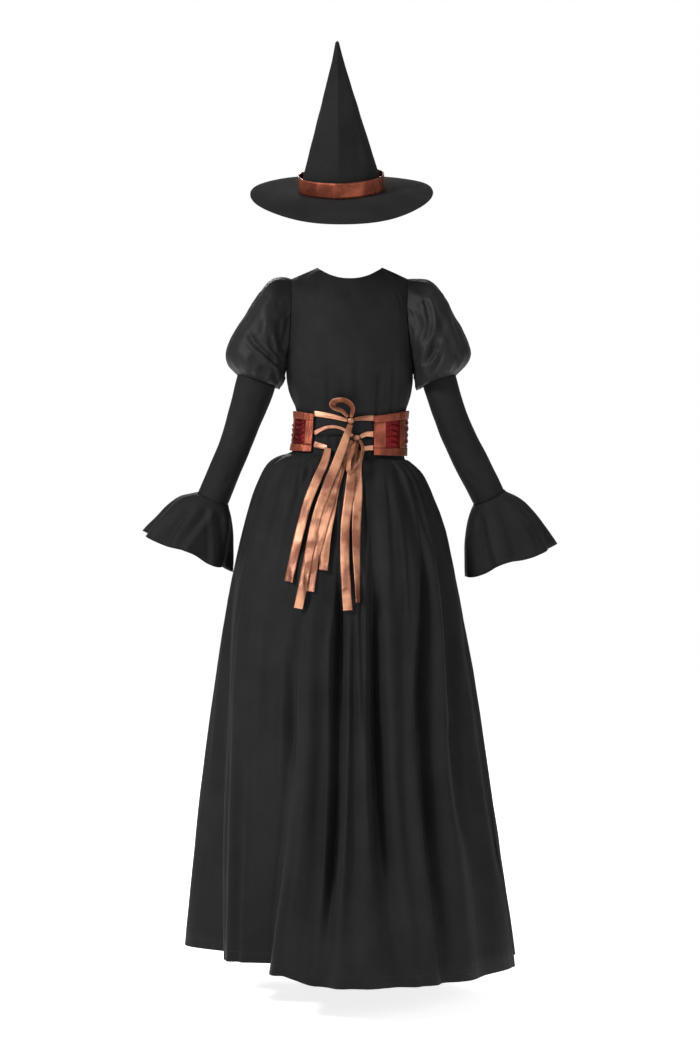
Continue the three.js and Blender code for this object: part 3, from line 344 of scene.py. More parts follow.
def add_uv(data):
    """A map in metres: round the piece's middle and up it, so that threads run the same way all over."""
    points = points_of(data)
    middle = points.mean(axis=0)
    reach = np.hypot(points[:, 0] - middle[0], points[:, 1] - middle[1])
    radius = float(np.median(reach))
    angle = np.arctan2(points[:, 1] - middle[1], points[:, 0] - middle[0])
    layer = data.uv_layers.new(name="cloth")
    corners = np.empty(len(data.loops), dtype=np.int64)
    data.loops.foreach_get("vertex_index", corners)
    turned = angle[corners]
    starts = np.empty(len(data.polygons), dtype=np.int64)
    totals = np.empty(len(data.polygons), dtype=np.int64)
    data.polygons.foreach_get("loop_start", starts)
    data.polygons.foreach_get("loop_total", totals)
    first = np.repeat(turned[starts], totals)
    order = np.concatenate([np.arange(s, s + t) for s, t in zip(starts, totals)])
    gap = turned[order] - first
    turned[order] = np.where(gap > math.pi, turned[order] - 2 * math.pi, turned[order])
    turned[order] = np.where(gap < -math.pi, turned[order] + 2 * math.pi, turned[order])
    uv = np.stack([turned * radius, points[corners, 2]], axis=1)
    layer.data.foreach_set("uv", uv.ravel())


def made(node, shape, material, slot=None, level=3, cut=None):
    """The node's fine mesh, moved by shape(points), which gives vectors, and finished."""
    piece = refined(node, level)
    if cut:
        cut_edges(piece, cut)
    points = points_of(piece.data)
    set_points(piece.data, points + shape(points))
    finish_piece(piece, node, material)
    return piece


# Creases


def rise(low, high, value):
    """0 below low, 1 above high, smooth between them."""
    t = np.clip((value - low) / (high - low), 0, 1)
    return t * t * (3 - 2 * t)


CURVE_STEP = 4.0  # mm between the samples of a crease's line


def curve_through(points):
    """Even samples of a smooth curve through two to five (across, height) points, in mm."""
    points = np.array(points, float)
    steps = np.concatenate([[0], np.cumsum(np.hypot(*np.diff(points, axis=0).T))])
    where = np.linspace(0, steps[-1], max(28, int(steps[-1] / CURVE_STEP)))
    fits = [np.polyfit(steps, points[:, k], len(points) - 1) for k in (0, 1)]
    return np.stack([np.polyval(fit, where) for fit in fits], axis=1)


SIDES = {
    "back": ((1, 0), (0, 1)),
    "front": ((1, 0), (0, -1)),
    "left": ((0, 1), (1, 0)),
    "right": ((0, 1), (-1, 0)),
}


def laid(side, rows):
    """Creases on one side of a piece, in mm. A row holds the (across, height) points of the crease's line,
    its depth, below 0 for a ridge, and its width, and where not the usual its lean and its ends' fading."""
    return [dict(zip(("line", "depth", "width", "lean", "fade"), row), side=side) for row in rows]


REACH = 3.2  # widths from a crease's line within which it counts
BANK = {"share": 0.30, "at": 1.9, "width": 0.7}  # the low ridges beside a crease
FADE = (0.18, 0.25)  # the usual shares of a line over which a crease starts and ends
FACING = 0.35  # a crease acts in full where the surface faces its side at least this much


def pressed(points, outward, creases):
    """How far each point is pressed in by the creases, in metres."""
    total = np.zeros(len(points))
    for crease in creases:
        across_axis, facing = SIDES[crease["side"]]
        across = points[:, 0] * across_axis[0] + points[:, 1] * across_axis[1]
        seen = rise(0.0, FACING, outward[:, 0] * facing[0] + outward[:, 1] * facing[1])
        line = curve_through(crease["line"]) * MM
        width = crease["width"] * MM
        low, high = line.min(axis=0) - REACH * width, line.max(axis=0) + REACH * width
        beside = (across > low[0]) & (across < high[0])
        near = np.flatnonzero((seen > 0) & beside & (points[:, 2] > low[1]) & (points[:, 2] < high[1]))
        if len(near) == 0:
            continue
        gap_x = across[near, None] - line[None, :, 0]
        gap_z = points[near, 2][:, None] - line[None, :, 1]
        far = np.hypot(gap_x, gap_z)
        nearest = far.argmin(axis=1)
        rows = np.arange(len(near))
        along = nearest / (len(line) - 1)
        heading = np.gradient(line, axis=0)
        turn = gap_x[rows, nearest] * heading[nearest, 1] - gap_z[rows, nearest] * heading[nearest, 0]
        length = np.hypot(heading[nearest, 0], heading[nearest, 1])
        offset = turn / np.maximum(length, 1e-9)
        beyond = np.sqrt(np.maximum(far[rows, nearest] ** 2 - offset**2, 0))
        lean = crease.get("lean", 0.0)
        t = offset / (width * (1 + lean * np.sign(offset)))
        start, end = crease.get("fade", FADE)
        ends = rise(0, start, along) * (1 - rise(1 - end, 1, along)) if end else rise(0, start, along)
        ends = ends * np.exp(-((beyond / width) ** 2))
        bank = np.exp(-(((np.abs(t) - BANK["at"]) / BANK["width"]) ** 2))
        shape = np.exp(-t * t) - BANK["share"] * bank
        total[near] += crease["depth"] * MM * ends * shape * seen[near]
    return total


RIPPLE_WAVES = 14


def ripples(points, size, stretch, seed):
    """A smooth uneven field, about -1 to 1, of waves about size long and stretch times longer upwards."""
    draw = random.Random(seed)
    total = np.zeros(len(points))
    for _ in range(RIPPLE_WAVES):
        heading = draw.uniform(0, 2 * math.pi)
        tilt = draw.gauss(0, 0.5)
        pace = 2 * math.pi / (size * draw.uniform(0.7, 1.6))
        phase = draw.uniform(0, 2 * math.pi)
        wave = (points[:, 0] * math.cos(heading) + points[:, 1] * math.sin(heading)) * pace
        total += np.sin(wave + points[:, 2] * pace * tilt / stretch + phase)
    return total / math.sqrt(RIPPLE_WAVES)


def edge_round(angle, height, bins=120):
    """The greatest height at each angle round a piece, as a function of the angle."""
    place = np.clip(((angle + math.pi) / (2 * math.pi) * bins).astype(int), 0, bins - 1)
    top = np.full(bins, -np.inf)
    np.maximum.at(top, place, height)
    seen = np.flatnonzero(np.isfinite(top))
    middles = (seen + 0.5) / bins * 2 * math.pi - math.pi
    return lambda turned: np.interp(turned, middles, top[seen], period=2 * math.pi)


def level_outward(points):
    """Level directions away from the wearer's upright axis."""
    length = np.maximum(np.hypot(points[:, 0], points[:, 1]), 1e-6)
    return np.column_stack([points[:, :2] / length[:, None], np.zeros(len(points))])


# Skirt

BELT_FOOT = -0.385  # the cincher's lower edge
RIBBON_REACH = {"left": 0.130, "right": -0.060, "foot": -0.735}  # where ribbons lie on the skirt

SKIRT_CREASES = laid("back", [
    ([(97, -680), (114, -850), (110, -1079)], 12.7, 9, -0.3),
    ([(233, -700), (242, -1136), (251, -1470)], -5.1, 7, 0, (0.5, 0)),
    ([(222, -760), (231, -1136), (238, -1470)], 5.1, 8, 0, (0.5, 0)),
    ([(117, -900), (120, -1120), (137, -1280), (152, -1470)], -5.1, 8, 0, (0.4, 0)),
    ([(16, -610), (20, -776), (22, -972), (29, -1185), (50, -1400)], 36, 10),
    ([(44, -680), (46, -972), (54, -1250)], -7.4, 12),
    ([(-22, -600), (-26, -776), (-32, -960)], 11, 6),
    ([(-40, -600), (-46, -809), (-52, -1136), (-73, -1340)], 12.4, 11, 0.3),
    ([(-106, -395), (-152, -560), (-143, -800), (-146, -1000)], 8.7, 8, 0.2),
    ([(-145, -930), (-156, -1136), (-180, -1316), (-197, -1380)], 9.6, 9),
    ([(-125, -395), (-180, -540), (-209, -776), (-218, -1000)], 10.2, 10),
    ([(-216, -930), (-221, -1095), (-246, -1200)], 8.6, 10),
    ([(-32, -395), (-29, -538), (-24, -740)], 5.1, 5),
    ([(-75, -395), (-86, -538), (-95, -740)], 3.6, 5),
    ([(-93, -395), (-116, -538), (-129, -760)], 5.1, 6),
    ([(148, -400), (190, -500), (225, -720)], 4.7, 11),
    ([(205, -790), (209, -920), (207, -1080)], 4.3, 10),
    ([(164, -720), (170, -830), (168, -960)], 4.2, 8),
    ([(-100, -950), (-110, -1150), (-126, -1330)], 4.7, 12),
    ([(119, -395), (124, -430), (133, -480)], 4.4, 4),
    ([(104, -395), (107, -425), (112, -460)], 4.5, 4),
    ([(90, -395), (92, -430), (95, -470)], 4, 4),
    ([(74, -395), (75, -420), (76, -450)], 3.6, 4),
]) + laid("front", [
    ([(20, -600), (0, -900), (-8, -1250)], 8.9, 11),
    ([(62, -395), (82, -560), (90, -820)], 5.1, 7),
    ([(110, -700), (128, -950), (140, -1300)], 10.3, 10, 0.3),
    ([(190, -620), (214, -900), (226, -1180)], 6.9, 10),
    ([(-48, -395), (-60, -560), (-66, -760)], 5.1, 6),
    ([(-92, -640), (-104, -900), (-120, -1240)], 10.2, 9, -0.3),
    ([(-118, -395), (-166, -560), (-180, -800)], 7.2, 8),
    ([(-200, -800), (-214, -1050), (-226, -1360)], 8.4, 11),
    ([(40, -950), (46, -1150), (52, -1380)], 5.4, 8),
]) + laid("left", [
    ([(20, -600), (34, -850), (30, -1150)], 6.9, 10),
    ([(-70, -700), (-92, -950), (-110, -1300)], 7.7, 10),
    ([(90, -480), (118, -700), (132, -980)], 5.1, 8),
]) + laid("right", [
    ([(-20, -560), (-40, -850), (-46, -1200)], 7.6, 9),
    ([(60, -720), (84, -980), (90, -1320)], 6.9, 11),
    ([(-110, -620), (-130, -850), (-140, -1050)], 5.4, 8),
])


FINE_GATHERS = {"waves": 64, "height": 1.3}  # waves round the waist, height in mm
BROAD_GATHERS = {"waves": 37, "height": 2.3}


def waist_gathers(points):
    """Small uneven gathers that fall from under the cincher."""
    angle = np.arctan2(points[:, 1], points[:, 0])
    drop = BELT_FOOT - points[:, 2]
    uneven = 0.6 + 0.4 * np.sin(5 * angle + 1.0) * np.sin(11 * angle + 2.0)
    length = 0.055 + 0.035 * np.sin(7 * angle + 0.6) + 0.02 * np.sin(17 * angle)
    wave = np.sin(FINE_GATHERS["waves"] * angle + 2.2 * np.sin(3 * angle) + 1.4 * np.sin(8 * angle + 1))
    fine = FINE_GATHERS["height"] * MM * uneven * wave * np.exp(-((np.maximum(drop, 0) / length) ** 2))
    reach = 0.20 + 0.08 * np.sin(4 * angle + 2.0) + 0.06 * np.sin(9 * angle + 0.5)
    broad = np.sin(BROAD_GATHERS["waves"] * angle + 1.6 * np.sin(4 * angle + 1) + 1.1 * np.sin(9 * angle))
    sharp = np.sign(broad) * np.abs(broad) ** 0.8
    swell = 0.45 + 0.55 * np.sin(6 * angle + 0.4) * np.sin(13 * angle + 1.0)
    fading = rise(0.0, 0.03, drop) * np.exp(-((np.maximum(drop, 0) / reach) ** 2))
    return fine + BROAD_GATHERS["height"] * MM * swell * sharp * fading


def skirt_shape(points):
    """Creases and gathers, which don't lift the cloth where ribbons hang on it."""
    outward = level_outward(points)
    drop = BELT_FOOT - points[:, 2]
    inward = pressed(points, outward, SKIRT_CREASES)
    inward -= waist_gathers(points)
    inward -= 0.9 * MM * ripples(points, size=0.085, stretch=3.5, seed=11) * rise(0.02, 0.25, drop)
    inward -= 0.35 * MM * ripples(points, size=0.028, stretch=3.0, seed=12)
    free = rise(0.000, 0.014, drop)
    under = (
        rise(RIBBON_REACH["right"] - 0.02, RIBBON_REACH["right"], points[:, 0])
        * (1 - rise(RIBBON_REACH["left"], RIBBON_REACH["left"] + 0.02, points[:, 0]))
        * rise(RIBBON_REACH["foot"] - 0.03, RIBBON_REACH["foot"], points[:, 2])
        * (points[:, 1] > 0)
    )
    inward = np.where(inward < 0, inward * (1 - under), inward) * free
    return -outward * inward[:, None]


# Bodice

BODICE_CREASES = laid("back", [
    ([(-13, -170), (-16, -225), (-17, -310)], 2.2, 7, 0, (0.4, 0)),
    ([(-43, -185), (-43, -300)], -1.4, 8, 0, (0.4, 0)),
    ([(-68, -195), (-62, -250), (-57, -310)], 2.6, 5, 0, (0.4, 0)),
    ([(-95, -180), (-90, -300)], 2.0, 5, 0, (0.4, 0)),
    ([(-113, -235), (-112, -300)], 2.0, 5, 0, (0.4, 0)),
    ([(-96, -40), (-108, -62), (-112, -95)], 2.4, 4),
    ([(14, -200), (13, -300)], 1.6, 6, 0, (0.4, 0)),
    ([(46, -190), (43, -300)], 2.2, 6, 0, (0.4, 0)),
    ([(78, -205), (72, -300)], 2.4, 5, 0, (0.4, 0)),
    ([(100, -235), (92, -300)], 1.8, 5, 0, (0.4, 0)),
    ([(97, -42), (109, -64), (112, -100)], 2.2, 4),
    ([(104, -215), (70, -226), (40, -240)], 1.5, 5),
    ([(-103, -212), (-72, -222), (-48, -238)], 1.3, 5),
]) + laid("front", [
    ([(30, -210), (28, -300)], 2.2, 6, 0, (0.4, 0)),
    ([(62, -195), (58, -300)], 2.4, 6, 0, (0.4, 0)),
    ([(-26, -215), (-25, -300)], 2.0, 6, 0, (0.4, 0)),
    ([(-70, -195), (-64, -300)], 2.4, 6, 0, (0.4, 0)),
    ([(108, -150), (80, -170), (55, -180)], 1.6, 6),
    ([(-108, -146), (-82, -168), (-54, -182)], 1.6, 6),
])
BELT_HEAD = -0.286  # above it the bodice is free of the cincher
UNDERARM = -0.236


def bodice_shape(points):
    outward = level_outward(points)
    inward = pressed(points, outward, BODICE_CREASES)
    inward -= 0.7 * MM * ripples(points, size=0.055, stretch=1.6, seed=21)
    near_arm = rise(0.100, 0.112, np.abs(points[:, 0])) * rise(UNDERARM - 0.01, UNDERARM, points[:, 2])
    free = rise(BELT_HEAD - 0.012, BELT_HEAD, points[:, 2]) * (1 - near_arm)
    inward = np.where(inward < 0, inward * free, inward * (1 - near_arm))
    return -outward * inward[:, None]


# Arms: puffs, sleeves and cuffs hang round one bent line

ARM_LINE = [(0.118, 0.000, -0.075), (0.185, 0.000, -0.185), (0.232, 0.000, -0.330), (0.287, -0.012, -0.480),
            (0.345, -0.020, -0.640)]

PUFF_CREASES_LEFT = laid("back", [
    ([(221, -120), (198, -155), (165, -186), (140, -212)], 6.5, 5.5, 0.3),
    ([(217, -136), (188, -176), (160, -196), (148, -228)], -3.5, 4.5),
    ([(168, -128), (167, -148), (150, -180), (139, -198)], 5.5, 5),
    ([(176, -96), (172, -122), (180, -146)], -3, 11),
    ([(129, -34), (143, -53), (158, -78)], 4.5, 4.5),
    ([(130, -84), (134, -120), (146, -165)], 3.5, 5),
    ([(192, -200), (180, -208), (166, -206)], 3, 7),
    ([(224, -198), (214, -212), (205, -224)], 2.4, 4),
]) + laid("front", [
    ([(206, -60), (196, -100), (176, -140)], 5, 7),
    ([(160, -60), (158, -110), (150, -160)], 5, 6),
    ([(228, -120), (214, -165), (180, -200)], 6, 7, 0.3),
    ([(190, -150), (180, -185), (160, -212)], -3, 6),
])
PUFF_CREASES_RIGHT = laid("back", [
    ([(-155, -32), (-174, -76), (-178, -115), (-157, -162)], -3.6, 4),
    ([(-147, -32), (-164, -76), (-167, -115), (-148, -158)], 4.5, 5, -0.2),
    ([(-190, -80), (-193, -122), (-180, -160), (-147, -202)], 6.5, 8),
    ([(-197, -62), (-217, -128), (-216, -184), (-166, -232)], -3.5, 8),
    ([(-200, -146), (-190, -180), (-178, -204), (-164, -220)], 5.5, 6),
    ([(-188, -170), (-170, -192), (-151, -207)], -3, 5),
    ([(-131, -32), (-124, -70), (-131, -134)], -3, 9),
    ([(-127, -104), (-129, -165), (-130, -212)], 3.2, 4.5),
    ([(-226, -170), (-229, -196), (-214, -214)], 2.6, 5),
]) + laid("front", [
    ([(-176, -46), (-190, -96), (-184, -150)], 5.5, 7),
    ([(-148, -60), (-152, -120), (-146, -180)], 4.5, 6),
    ([(-212, -96), (-218, -150), (-190, -206)], 6, 7),
    ([(-166, -150), (-176, -186), (-160, -216)], -3, 6),
])
PUFF_GATHERS = {"top": 30, "foot": 26, "height": 1.3}  # waves round each end, height in mm
ARMHOLE_REACH = 1.0 * MM  # how far a puff's upper end is drawn towards the bodice

SLEEVE_CREASES = laid("back", [
    ([(190, -262), (214, -270), (236, -262)], 1.8, 5),
    ([(196, -286), (222, -296), (240, -290)], 1.5, 5),
    ([(222, -330), (240, -352), (262, -360)], 1.6, 6),
    ([(254, -430), (270, -450), (292, -456)], 1.6, 5),
    ([(-190, -266), (-212, -276), (-236, -270)], 1.8, 5),
    ([(-220, -322), (-236, -344), (-256, -350)], 1.6, 6),
    ([(-250, -420), (-268, -442), (-290, -450)], 1.6, 5),
]) + laid("front", [
    ([(200, -280), (222, -290), (240, -282)], 1.8, 5),
    ([(-200, -284), (-222, -292), (-240, -284)], 1.8, 5),
])
CUFF_CREASES = laid("back", [
    ([(306, -486), (324, -530), (350, -562), (364, -600)], 7, 9, 0, (0.15, 0)),
    ([(297, -490), (293, -537), (289, -640)], -3, 6, 0, (0.2, 0)),
    ([(279, -496), (272, -545), (269, -640)], 4, 6, 0, (0.2, 0)),
    ([(336, -500), (362, -528), (384, -556)], 2.5, 6, 0, (0.2, 0)),
    ([(-266, -520), (-269, -660)], -2.5, 9, 0, (0.2, 0)),
    ([(-277, -505), (-286, -566), (-306, -640)], 4.5, 6, 0, (0.2, 0)),
    ([(-352, -512), (-390, -550), (-402, -600)], 3.5, 8, 0, (0.2, 0)),
    ([(-318, -500), (-338, -560), (-348, -620)], 1.6, 9, 0, (0.2, 0)),
]) + laid("front", [
    ([(300, -490), (312, -540), (330, -620)], 5, 8, 0, (0.2, 0)),
    ([(330, -495), (352, -530), (380, -570)], 4, 7, 0, (0.2, 0)),
    ([(-296, -490), (-308, -540), (-320, -630)], 5, 8, 0, (0.2, 0)),
    ([(-330, -495), (-352, -535), (-376, -580)], 4, 7, 0, (0.2, 0)),
])


def arm_frame(points):
    """Directions away from the arm line, the angle round it and the distance down it."""
    side = 1.0 if points[:, 0].mean() > 0 else -1.0
    line = np.array(ARM_LINE) * np.array([side, 1, 1])
    best = np.full(len(points), np.inf)
    outward = np.zeros_like(points)
    down = np.zeros(len(points))
    travelled = 0.0
    for start, end in zip(line[:-1], line[1:]):
        run = end - start
        length = np.linalg.norm(run)
        t = np.clip((points - start) @ run / length**2, 0, 1)
        reach = points - (start + t[:, None] * run)
        far = np.linalg.norm(reach, axis=1)
        nearer = far < best
        best = np.where(nearer, far, best)
        outward[nearer] = reach[nearer]
        down = np.where(nearer, travelled + t * length, down)
        travelled += length
    outward /= np.maximum(best, 1e-6)[:, None]
    angle = np.arctan2(outward[:, 1], outward[:, 0] * side)
    return outward, angle, down


def end_fade(down, start_gap, end_gap):
    """0 at a sleeve part's two ends, 1 from the given distances on."""
    low, high = down.min(), down.max()
    start = rise(low + 0.2 * start_gap, low + start_gap, down)
    return start * (1 - rise(high - end_gap, high - 0.2 * end_gap, down))


def puff_shape(points):
    outward, angle, down = arm_frame(points)
    creases = PUFF_CREASES_LEFT if points[:, 0].mean() > 0 else PUFF_CREASES_RIGHT
    inward = pressed(points, outward, creases)
    inward -= 0.8 * MM * ripples(points, size=0.035, stretch=1.3, seed=31)
    top = down.min()
    foot = down.max()
    uneven = 0.65 + 0.35 * np.sin(5 * angle + 0.7)
    at_top = np.exp(-(((down - top) / 0.030) ** 2))
    at_foot = np.exp(-(((foot - down) / 0.024) ** 2))
    gathers = np.sin(PUFF_GATHERS["top"] * angle + 1.5 * np.sin(4 * angle)) * at_top
    gathers += np.sin(PUFF_GATHERS["foot"] * angle + 1.2 * np.sin(3 * angle + 2)) * at_foot
    inward -= PUFF_GATHERS["height"] * MM * uneven * gathers
    inward -= np.maximum(inward, 0) * (1 - rise(0.012, 0.030, foot - down))
    shift = -outward * (inward * end_fade(down, 0.012, 0.010))[:, None]
    shift[:, 0] -= ARMHOLE_REACH * np.sign(points[:, 0]) * (1 - rise(0.004, 0.020, down - top))
    return shift


def sleeve_shape(points):
    outward, angle, down = arm_frame(points)
    inward = pressed(points, outward, SLEEVE_CREASES)
    inward -= 0.5 * MM * ripples(points, size=0.040, stretch=1.5, seed=41)
    return -outward * (inward * end_fade(down, 0.020, 0.014))[:, None]


CUFF_GATHERS = {"waves": 34, "height": 0.45}
# The cuffs' hems dip four times round, lowest this many degrees from the outer side towards the back
CUFF_DIP = {"left": 125, "right": 142}
CUFF_DIPS = 4
CUFF_DIP_DEPTH = 4.0


def cuff_shape(points):
    outward, angle, down = arm_frame(points)
    side = "left" if points[:, 0].mean() > 0 else "right"
    heading = np.array(ARM_LINE[-1]) - np.array(ARM_LINE[-2])
    heading[0] *= 1 if side == "left" else -1
    heading /= np.linalg.norm(heading)
    dip = np.cos(CUFF_DIPS * (angle - math.radians(CUFF_DIP[side])))
    low = rise(0.30, 1.0, (down - down.min()) / (down.max() - down.min()))
    waved = (CUFF_DIP_DEPTH * MM * dip * low)[:, None] * heading
    inward = pressed(points, outward, CUFF_CREASES)
    inward -= 0.6 * MM * ripples(points, size=0.045, stretch=1.5, seed=51)
    top = down.min()
    at_top = np.exp(-(((down - top) / 0.028) ** 2))
    gathers = np.sin(CUFF_GATHERS["waves"] * angle + 1.5 * np.sin(5 * angle)) * at_top
    inward -= CUFF_GATHERS["height"] * MM * gathers
    inward -= np.maximum(inward, 0) * (1 - rise(0.012, 0.030, down - top))
    return waved - outward * (inward * rise(top + 0.002, top + 0.014, down))[:, None]


# Cincher

RUCHES = 4.6  # level folds over the red satin's height
BINDING = 0.018  # height of a copper binding
BAR_CLEAR = (0.8, 3.5)  # degrees beside a bar over which the satin rises out of it


def bar_spans():
    """The angles from the middle of the back, in degrees, between which each bar lies."""
    spans = []
    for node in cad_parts:
        if node.startswith("belt_bar"):
            places = points_of(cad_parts[node].data)
            angle = np.degrees(np.arctan2(places[:, 0], places[:, 1]))
            spans.append((angle.min(), angle.max()))
    return spans


def panel_shape(points):
    """Red satin ruched into uneven level folds, flat under the bindings and bars."""
    outward = level_outward(points)
    angle = np.arctan2(points[:, 0], points[:, 1])
    top = edge_round(angle, points[:, 2])(angle) - BINDING
    foot = -edge_round(angle, -points[:, 2])(angle) + BINDING
    v = (points[:, 2] - foot) / (top - foot)
    wander = 0.30 * np.sin(3 * angle + 1) + 0.22 * np.sin(9 * angle + 2) + 0.12 * np.sin(23 * angle + 4)
    wave = np.sin(2 * math.pi * (RUCHES * v + wander))
    second = np.sin(2 * math.pi * (RUCHES * 0.6 * v + 0.3 * np.sin(12 * angle)) + 2)
    strength = 0.75 + 0.25 * np.sin(7 * angle + 5 * v)
    window = rise(-0.02, 0.12, v) * (1 - rise(0.88, 1.02, v))
    near, clear = BAR_CLEAR
    turned = np.degrees(angle)
    for start, end in bar_spans():
        past_start = rise(start - clear, start - near, turned)
        window = window * (1 - past_start * (1 - rise(end + near, end + clear, turned)))
    out = 1.1 + 1.5 * wave * strength + 0.5 * second
    return outward * (MM * out * window)[:, None]


def trim_shape(points):
    """A satin trim, puckered by its stitches."""
    outward = level_outward(points)
    angle = np.arctan2(points[:, 0], points[:, 1])
    pucker = 0.22 * np.sin(96 * angle + 150 * points[:, 2]) + 0.20 * np.sin(43 * angle + 2)
    return outward * (MM * np.maximum(pucker, -0.1))[:, None]


def lace_shape(points):
    """A ribbon laid level: creased along its length and bunched towards its middle."""
    middle = np.polyval(np.polyfit(points[:, 0], points[:, 2], 4), points[:, 0])
    half = max(0.002, float(np.abs(points[:, 2] - middle).max()))
    w = (points[:, 2] - middle) / half
    out = 0.5 * (1 - w * w) + 0.25 * np.sin(7 * w + points[:, 0] * 160)
    return np.column_stack([np.zeros(len(w)), MM * out, np.zeros(len(w))])


RIBBON_HALF = 0.0095
# Where a ribbon keeps a crease from being folded: its middle there, and how far the cloth stands out
RIBBON_FOLDS = [
    {"x": 8, "z": -663, "out": 13, "reach": 38},
    {"x": 108, "z": -655, "out": 12, "reach": 44},
    {"x": 80, "z": -606, "out": 7, "reach": 26},
    {"x": 84, "z": -552, "out": 6, "reach": 26},
    {"x": 114, "z": -560, "out": 5, "reach": 30},
]


def ribbon_shape(points):
    """A hanging ribbon: its middle a little proud, with slow bends, and creased where it was folded."""
    z = points[:, 2]
    middle = np.polyval(np.polyfit(z, points[:, 0], 5), z)
    w = np.clip((points[:, 0] - middle) / RIBBON_HALF, -1.2, 1.2)
    free = 1 - rise(-0.478, -0.434, z)
    bend = 2.8 * (1 + np.sin(z * 58 + points[:, 0] * 22 + 1.2))
    bend += 0.35 * (1 + np.sin(z * 130 + points[:, 0] * 60 + 1.6 * np.sin(z * 31)))
    curl = 0.6 * (1 - w * w) + 0.25 * np.sin(4.0 * w + z * 40)
    out = curl + bend
    for fold in RIBBON_FOLDS:
        near = 1 - rise(0.013, 0.018, np.abs(points[:, 0] - fold["x"] * MM))
        far = np.abs(z - fold["z"] * MM + 0.25 * (points[:, 0] - fold["x"] * MM)) / (fold["reach"] * MM)
        out += fold["out"] * near * np.maximum(1 - far, 0)
    return np.column_stack([np.zeros(len(w)), MM * np.maximum(out, -0.1) * free, np.zeros(len(w))])


def knot_shape(points):
    """Cloth drawn tight: folds that wrap round the knot."""
    middle = points.mean(axis=0)
    reach = points - middle
    length = np.maximum(np.linalg.norm(reach, axis=1), 1e-6)
    turn = np.arctan2(reach[:, 2], reach[:, 0])
    folds = np.sin(3 * turn + reach[:, 0] * 900) + 0.6 * np.sin(5 * turn + reach[:, 2] * 700)
    return reach / length[:, None] * (0.25 * MM * (folds - 0.9))[:, None]


def loop_shape(points):
    """A loop of ribbon with soft creases along it."""
    ripple = 0.3 * np.sin(points[:, 2] * 420 + points[:, 0] * 300)
    return np.column_stack([np.zeros(len(ripple)), MM * ripple, np.zeros(len(ripple))])


# Hat

HAT_PLACE = np.array((0.018, 0.006, 0.182))  # the middle of the crown's foot
TIP_BACK = math.radians(20)
LEAN = math.radians(1.6)
HAT_TURN = np.array(Matrix.Rotation(-TIP_BACK, 3, "X") @ Matrix.Rotation(LEAN, 3, "Y"))
CREASE_TURN = math.radians(4)  # where the crown's crease runs, from straight back towards the wearer's left
JOINT = math.radians(5)  # where the band's ends meet, turned the same way
FACET = math.radians(28)  # half the angle over which the crown is flat beside its crease


def in_hat(points):
    """The points in the hat's own frame, with its axis upright, their radius and their angle."""
    local = (points - HAT_PLACE) @ HAT_TURN
    radius = np.maximum(np.hypot(local[:, 0], local[:, 1]), 1e-6)
    return local, radius, np.arctan2(local[:, 0], local[:, 1])


def hat_outward(local, radius):
    return np.column_stack([local[:, :2] / radius[:, None], np.zeros(len(local))]) @ HAT_TURN.T


def crown_shape(points):
    """Two flattish sides that meet in the crease pressed down the crown's back and front."""
    local, radius, angle = in_hat(points)
    angle = np.abs((angle - CREASE_TURN + math.pi) % (2 * math.pi) - math.pi)
    from_crease = np.minimum(angle, math.pi - angle)
    flat = 1 - math.cos(FACET) / np.cos(np.clip(from_crease - FACET, -FACET, FACET))
    above = rise(0.034, 0.075, local[:, 2])
    inward = 0.8 * radius * flat * above
    inward -= 0.5 * MM * ripples(points, size=0.040, stretch=1.4, seed=61) * above * rise(0.0, 0.02, radius)
    return -hat_outward(local, radius) * inward[:, None]


def brim_shape(points):
    """Felt that waves a little towards its edge."""
    local, radius, angle = in_hat(points)
    wave = 0.9 * np.sin(3 * angle + 0.6) + 0.5 * np.sin(7 * angle + 2)
    lift = MM * wave * rise(0.120, 0.190, radius)
    return lift[:, None] * HAT_TURN[:, 2]


def band_shape(points):
    """The band's satin, eased along its length, with its two ends butted at the back."""
    local, radius, angle = in_hat(points)
    arc = (angle - JOINT) * radius
    lap = 1.5 * rise(-0.0013, 0.0013, arc) * (1 - rise(0.004, 0.024, arc))
    ease = 0.40 * np.sin(11 * angle + 90 * local[:, 2]) + 0.28 * np.sin(23 * angle + 1)
    return hat_outward(local, radius) * (MM * np.maximum(lap + ease + 0.3, -0.2))[:, None]


# Seams

SEAM_REACH = 0.0009  # points nearer than this to the next piece are drawn up to it
SEAM_SHARE = 0.9  # how much of the way, so that the pieces stay clear of each other


def close_seam(piece, other):
    """Draws the piece's edge up to the other's, so that no light shows through the seam between them."""
    tree = surface_of(other.data)
    points = points_of(piece.data)
    for i, point in enumerate(points):
        nearest, _, _, far = tree.find_nearest(Vector(point), SEAM_REACH)
        if nearest is not None and far > 0:
            points[i] = point + (np.array(nearest) - point) * SEAM_SHARE
    set_points(piece.data, points)


# Stitches: rows of small threads laid on the finished pieces

STITCH_FACES = [(0, 2, 4), (2, 1, 4), (1, 3, 4), (3, 0, 4), (2, 0, 5), (1, 2, 5), (3, 1, 5), (0, 3, 5)]
STITCH = {"length": 2.8 * MM, "gap": 1.2 * MM, "half_width": 0.35 * MM, "height": 0.35 * MM}
RAY_GAP = 1.5 * MM  # between the points that a row is led through
JUMP = 9 * MM  # a row breaks where the cloth is this far apart

